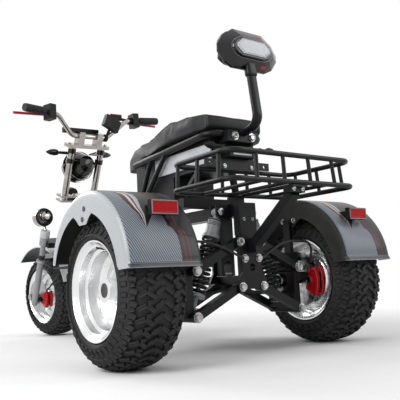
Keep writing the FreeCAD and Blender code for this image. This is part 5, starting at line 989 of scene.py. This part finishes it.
def padded_from(node, name, voxel, sink, cap, held, soften=6, settle=8, reshape=Matrix()):
    """A cushion blown up a little from a node's form by cloth pressure, each point moved by cap at most."""
    made = solid_copy(node, name, reshape)
    worked(made, "REMESH", mode="VOXEL", voxel_size=voxel)
    worked(made, "DISPLACE", strength=-sink, mid_level=0.0)
    worked(made, "SMOOTH", factor=0.6, iterations=soften)
    start = [vertex.co.copy() for vertex in made.data.vertices]
    inflate(made, held)
    for vertex, before in zip(made.data.vertices, start):
        moved = vertex.co - before
        if moved.length > cap:
            vertex.co = before + moved.normalized() * cap
    worked(made, "SMOOTH", factor=0.5, iterations=settle)
    worked(made, "SUBSURF", levels=1)
    return made


def on_surface(piece, point):
    """The nearest place on a piece's skin, lifted a little."""
    hit, spot, normal, index = piece.closest_point_on_mesh(Vector(point))
    return spot + normal * PILE_LIFT


def piping(piece, points):
    """A sewn cord laid on a cushion through guide points."""
    dense = []
    guides = [Vector(p) for p in points]
    for first, last in zip(guides, guides[1:]):
        steps = max(2, int((last - first).length / PIPING_STEP))
        dense += [first.lerp(last, i / steps) for i in range(steps)]
    spots = [on_surface(piece, p) for p in dense + guides[-1:]]
    line = bpy.data.curves.new("seam", "CURVE")
    line.dimensions = "3D"
    line.bevel_depth, line.bevel_resolution = PIPING_R, 2
    run = line.splines.new("POLY")
    run.points.add(len(spots) - 1)
    for target, spot in zip(run.points, spots):
        target.co = (*spot, 1.0)
    made = bpy.data.objects.new("seam", line)
    bpy.context.collection.objects.link(made)
    only(made)
    bpy.ops.object.convert(target="MESH")
    return smooth(bpy.context.object, 60)


seat = padded_from("seat", "seat_cushion_sewn", 0.0055, 0.0035, 0.004,
                   lambda spot: spot.z < SEAT_HELD_Z and abs(spot.x) < SEAT_HELD_X)
shown(seat, "chassis", "seat_cover", "seat")
seams = []
for side, word in SIDES:
    seams.append(piping(seat, [at(0.134 * side, y, z) for y, z in SIDE_SEAM]))
    seams.append(piping(seat, [at(0.128 * side, 0.052, z) for z in CORNER_SEAM]))
seams.append(piping(seat, [at(x / 1000, 0.060, 0.768) for x in range(128, -129, -16)]))
# The seams take the light grey piping finish, a painted highlight along the seat's corners.
placed("seat_seams", seams, "chassis", "seat_cover", finish=PIPING_PAINTED_HIGHLIGHT)
squeeze = (Matrix.Translation(at(0, 0, REST_MID)) @ Matrix.Diagonal(REST_SQUEEZE)
           @ Matrix.Translation(-CAD_REST_MID))
rest = padded_from("backrest_cushion", "backrest_cushion_sewn", 0.005, 0.003, 0.008,
                   lambda spot: spot.y > REAR_Y + REST_HELD_Y, soften=14, reshape=squeeze)
shown(rest, "chassis", "seat_cover", "backrest_cushion")

# Shocks and floorboard

SHOCK_TOP, SHOCK_FOOT = at(0.068, 0.020, 0.452), at(0.184, 0.020, 0.146)
EYE_Y, EYE_LONG, EYE_R = 0.0375, 0.0075, 0.012
# Share of the run where a ring starts, its length as a share, its radius and its bevel and steps
SHOCK_RINGS = ((0.085, 0.012, 0.0235, 0.001, 2), (0.235, 0.012, 0.0235, 0.001, 2),
               (0.110, 0.006, 0.0228, 0.0006, 1), (0.125, 0.006, 0.0228, 0.0006, 1),
               (0.140, 0.006, 0.0228, 0.0006, 1))


def shock_rings():
    """Wear rings and fine lines round the upper end of both damper bodies."""
    run = SHOCK_FOOT - SHOCK_TOP
    rings = [drum("ring", SHOCK_TOP + run * share, SHOCK_TOP + run * (share + part), radius, 32, *bevel)
             for share, part, radius, *bevel in SHOCK_RINGS]
    made = joined("shock_rings_left", rings)
    return [made, mirrored(made)]


placed("shock_rings", shock_rings(), "chassis", "frame_black", angle=35)
eyes = []
for side, word in SIDES:
    eye = at(SHOCK_TOP.x * side, EYE_Y, SHOCK_TOP.z)
    eyes.append(drum("shock_eye_pin", eye, eye + Vector((0, EYE_LONG, 0)), EYE_R, 24, 0.0015))
placed("shock_eye_pins", eyes, "chassis", "steel", angle=35, finish=BOLT_STEEL)

ribs = [block("floor_rib", at(x / 1000, -0.790, 0.3248), (0.010, 0.420, 0.0014), bevel=0.0005, steps=1)
        for x in range(-160, 161, 20)]
placed("floorboard_ribs", ribs, "chassis", "grip_rubber")

# Steering head, headlamp and fork, built straight ahead


def on_axis(s, x=0.0, ahead=0.0):
    """A point s up the steering axis, x to the left and ahead of it."""
    return STEER_FOOT + STEER_AXIS * s + STEER_AHEAD * ahead + Vector((x, 0, 0))


def band(name, section, centre, steps):
    """A ring round a lamp, its section counted forwards from the lamp's middle."""
    return spun(name, section, centre, steps, AHEAD)


def flat_ring(low, high, inner, outer):
    return [(low, inner), (low, outer), (high, outer), (high, inner)]


bolts = []
for side, word in SIDES:
    bolts.append(bolt(on_axis(0.248, 0.099 * side), STEER_AXIS, 0.008, 0.006))
    bolts.append(bolt(on_axis(0.001, 0.030 * side), STEER_AXIS, 0.007, 0.005))
bolted("steering_bolts", bolts, "steering")

HEADLAMP = at(0, -1.112, 0.808)
BEZEL = ((0.026, 0.0705), (0.026, 0.0738), (0.030, 0.0758), (0.038, 0.0758), (0.0412, 0.0738),
         (0.0412, 0.0640), (0.0385, 0.0640), (0.0385, 0.0705))
SHELL_R = 0.0676
placed("headlamp_bezel", [band("bezel", BEZEL, HEADLAMP, 64)], "steering", "chrome", angle=40)
trim = [band("shell_band", flat_ring(back, back + 0.006, SHELL_R - 0.001, SHELL_R + 0.0012), HEADLAMP, 64)
        for back in (0.004, -0.016)]
placed("headlamp_bands", trim, "steering", "gloss_black", angle=40)

GRIP_START, GRIP_END = (0.268, -0.9534, 1.01766), (0.362, -0.9415, 1.0222)
GRIP_RIBS, GRIP_R = 14, 0.0182
for side, word in SIDES:
    start, end = (at(x * side, y, z) for x, y, z in (GRIP_START, GRIP_END))
    ribs = []
    for index in range(GRIP_RIBS):
        spot = start.lerp(end, index / GRIP_RIBS)
        ribs.append(drum("grip_rib", spot, spot + (end - start) / 30, GRIP_R, 28, 0.0007, 1))
    placed("grip_ribs_" + word, ribs, "steering", "grip_rubber", angle=35)

FRONT_HUB = at(0.0885, -WHEELBASE, FRONT_Z)
# The front caliper's halves: across from the disc, reach, and the low end in degrees
FRONT_HALVES = ((0.0112, 0.106, -33), (-0.0112, 0.109, -30))
LOBE_START, LOBE_END = FRONT_HUB + Vector((0.017, 0.076, -0.014)), FRONT_HUB + Vector((0.0215, 0.076, -0.014))
halves = [arched_plate("front_half", FRONT_HUB + Vector((x, 0, 0)), 0.0140, 0.050, reach, low, 13)
          for x, reach, low in FRONT_HALVES]
halves.append(drum("front_lobe", LOBE_START, LOBE_END, 0.0150, 28, 0.0012))
placed("front_caliper_cast", halves, "steering", "caliper_red", "front_caliper", angle=35)
bridge = block("bridge", FRONT_HUB + Vector((0, 0.094, -0.016)), (0.0110, 0.012, 0.040), bevel=0.002)
bracket = block("bracket", FRONT_HUB + Vector((0.028, 0.060, -0.012)), (0.026, 0.026, 0.022), bevel=0.003)
placed("front_caliper_core", [bridge, bracket], "steering", "frame_black")
bolted("bolt", [bolt(LOBE_END, OUT, 0.0095, 0.002)], "steering")

# Spot lamps and fork trim

LEG_X, LEG_AHEAD = 0.137, 0.027
SPOT_Y, SPOT_Z, SPOT_R = -1.240, 0.578, 0.042
SPOT_FINS, FIN_STEP, FIN_HALF, FIN_HIGH, FIN_DEEP = 5, 0.006, 0.0012, 0.0022, 0.004
LEG_TOP, COLLAR_UP, DUST_UP = -0.184, -0.330, -0.322


def on_leg(side, s, low, high, radius, bevel):
    """A ring round a fork leg between two heights about a place on the axis."""
    foot = on_axis(s, LEG_X * side, LEG_AHEAD)
    return drum("leg_ring", foot + STEER_AXIS * low, foot + STEER_AXIS * high, radius, 32, bevel)


def spot_fins(side):
    """Cooling fins round the spot lamp's round back."""
    fins = []
    for step in range(SPOT_FINS):
        back = FIN_STEP + FIN_STEP * step
        r = SPOT_R * math.sqrt(1 - (back / SPOT_R) ** 2) + FIN_HIGH
        fins.append(band("spot_fin", flat_ring(-back - FIN_HALF, -back + FIN_HALF, r - FIN_DEEP, r),
                         at(side * LEG_X, SPOT_Y, SPOT_Z), 48))
    return fins


placed("spot_lamp_fins", spot_fins(1) + spot_fins(-1), "steering", "plastic_black", angle=40)
sleeves, rings, seals = [], [], []
for side, word in SIDES:
    sleeves.append(on_leg(side, LEG_TOP, -0.034, 0.0012, 0.0226, 0.002))
    rings.append(on_leg(side, LEG_TOP, -0.014, -0.006, 0.0222, 0.001))
    rings.append(on_leg(side, COLLAR_UP, -0.012, -0.004, 0.0212, 0.001))
    seals.append(on_leg(side, DUST_UP, -0.006, 0.014, 0.0152, 0.002))
placed("fork_cap_sleeves", sleeves, "steering", "silver_plastic", angle=35)
placed("fork_rings", rings, "steering", "chrome", angle=35)
placed("fork_dust_seals", seals, "steering", "grip_rubber", angle=35)

TANK = at(-0.152, -1.002, 1.034)
LID_UP, SCREW_X, SCREW_UP = 0.0145, 0.024, 0.017
lid = block("lid", TANK + Vector((0, 0, LID_UP)), (0.064, 0.032, 0.005), bevel=0.0015)
placed("reservoir_lid", [lid], "steering", "caliper_red")
screws = [bolt(TANK + Vector((x, 0, SCREW_UP)), UP, 0.0032, 0.0022) for x in (-SCREW_X, SCREW_X)]
bolted("reservoir_screws", screws, "steering")

# Valves

# Stem and cap: across and above the axle at each end, radius and bevel
VALVE = ((0.462, 0.116, 0.486, 0.121, 0.0032, 0.0006), (0.481, 0.120, 0.491, 0.122, 0.0045, 0.001))
for side, word in SIDES:
    valve = []
    for inner, low, outer, high, radius, bevel in VALVE:
        start, end = at(side * inner, 0, REAR_Z + low), at(side * outer, 0, REAR_Z + high)
        valve.append(drum("valve", start, end, radius, 12, bevel, 1))
    placed("valve_stem_" + word, valve, "rear_wheel_" + word, "grip_rubber")

# Floor, light and camera

WHITE = (1, 1, 1, 1)
FADE_NEAR, FADE_FAR = 0.9, 2.2
WORLD_LIGHT = 0.40
# The picture is 400 pixels wide; the focal length and the shift are in pixels.
PICTURE, FOCAL, SENSOR = 400.0, 617.8, 36.0
SHIFT = (-3.2, -9.6)
CAMERA_TURNS = (37.0, -8.09, -2.88)
CAMERA_PLACE = at(1.2959, 1.5821, 0.2444)
LIGHT_AIM = (0, 0, 0.5)


def seen_directly(tree, *kinds):
    """1 for the kinds of ray that should see plain white."""
    path = add(tree, "LightPath")
    seen = path.outputs["Is " + kinds[0] + " Ray"]
    for kind in kinds[1:]:
        seen = reckon(tree, "MAXIMUM", seen, path.outputs["Is " + kind + " Ray"])
    return seen


def floor():
    """A pale floor that takes the shadow and fades to plain white far off."""
    fresh()
    bpy.ops.mesh.primitive_plane_add(size=30.0, location=(0, 0, 0))
    made = bpy.context.object
    made.name = "studio_floor"
    mat, tree = start_material("pale_floor")
    where = place(tree)
    tone = ramp(tree, noise(tree, where, 3.0), [(0.2, "f6f6f6"), (0.8, "fcfcfc")])
    skin = add(tree, "BsdfPrincipled", None,
               {"Base Color": tone, "Roughness": 0.9, "Specular IOR Level": 0.0})
    plain = add(tree, "Emission", None, {"Color": WHITE, "Strength": 1.0})
    far = add(tree, "VectorMath", {"operation": "LENGTH"}, {0: where})
    fade = add(tree, "MapRange", {"interpolation_type": "SMOOTHSTEP"},
               {0: far.outputs["Value"], 1: FADE_NEAR, 2: FADE_FAR})
    share = reckon(tree, "MULTIPLY", seen_directly(tree, "Camera", "Glossy"), fade.outputs[0])
    mixed = add(tree, "MixShader", None, {0: share, 1: skin.outputs[0], 2: plain.outputs[0]})
    out = add(tree, "OutputMaterial")
    tree.links.new(mixed.outputs[0], out.inputs[0])
    made.data.materials.append(mat)


def surroundings():
    """A plain world: soft light on the object, white where it is seen."""
    world = bpy.data.worlds.new("studio_world")
    bpy.context.scene.world = world
    world.use_nodes = True
    tree = world.node_tree
    tree.nodes.clear()
    lit = add(tree, "Background", None, {"Color": WHITE, "Strength": WORLD_LIGHT})
    white = add(tree, "Background", None, {"Color": WHITE, "Strength": 1.0})
    seen = seen_directly(tree, "Camera", "Glossy", "Transmission")
    mix = add(tree, "MixShader", None, {0: seen, 1: lit.outputs[0], 2: white.outputs[0]})
    out = add(tree, "OutputWorld")
    tree.links.new(mix.outputs[0], out.inputs[0])


def softbox(name, spot, size, power):
    light = bpy.data.lights.new(name, "AREA")
    light.shape = "RECTANGLE"
    light.size, light.size_y = size
    light.energy = power
    lamp = bpy.data.objects.new(name, light)
    bpy.context.collection.objects.link(lamp)
    lamp.location = spot
    lamp.rotation_euler = (Vector(LIGHT_AIM) - Vector(spot)).to_track_quat("-Z", "Y").to_euler()


def camera():
    """The photograph's view, with its roll and framing."""
    data = bpy.data.cameras.new("photo_camera")
    data.sensor_width = SENSOR
    data.lens = FOCAL * SENSOR / PICTURE
    data.shift_x, data.shift_y = (pixels / PICTURE for pixels in SHIFT)
    data.clip_start, data.clip_end = 0.05, 60
    eye = bpy.data.objects.new("photo_camera", data)
    bpy.context.collection.objects.link(eye)
    yaw, pitch, roll = (math.radians(v) for v in CAMERA_TURNS)
    fore = Vector((-math.sin(yaw) * math.cos(pitch), -math.cos(yaw) * math.cos(pitch), -math.sin(pitch)))
    right = fore.cross(Vector(UP)).normalized()
    up = right.cross(fore)
    across = math.cos(roll) * right + math.sin(roll) * up
    above = -math.sin(roll) * right + math.cos(roll) * up
    turn = Matrix((across, above, -fore)).transposed().to_4x4()
    turn.translation = CAMERA_PLACE
    eye.matrix_world = turn
    bpy.context.scene.camera = eye


floor()
surroundings()
softbox("key_softbox", (3.9, 1.2, 2.6), (2.4, 2.4), 135)
softbox("fill_softbox", (-2.4, 3.0, 2.4), (2.2, 2.2), 42)
softbox("front_softbox", (1.0, -3.6, 2.6), (2.6, 2.0), 90)
camera()
bpy.context.scene.view_settings.view_transform = "Standard"
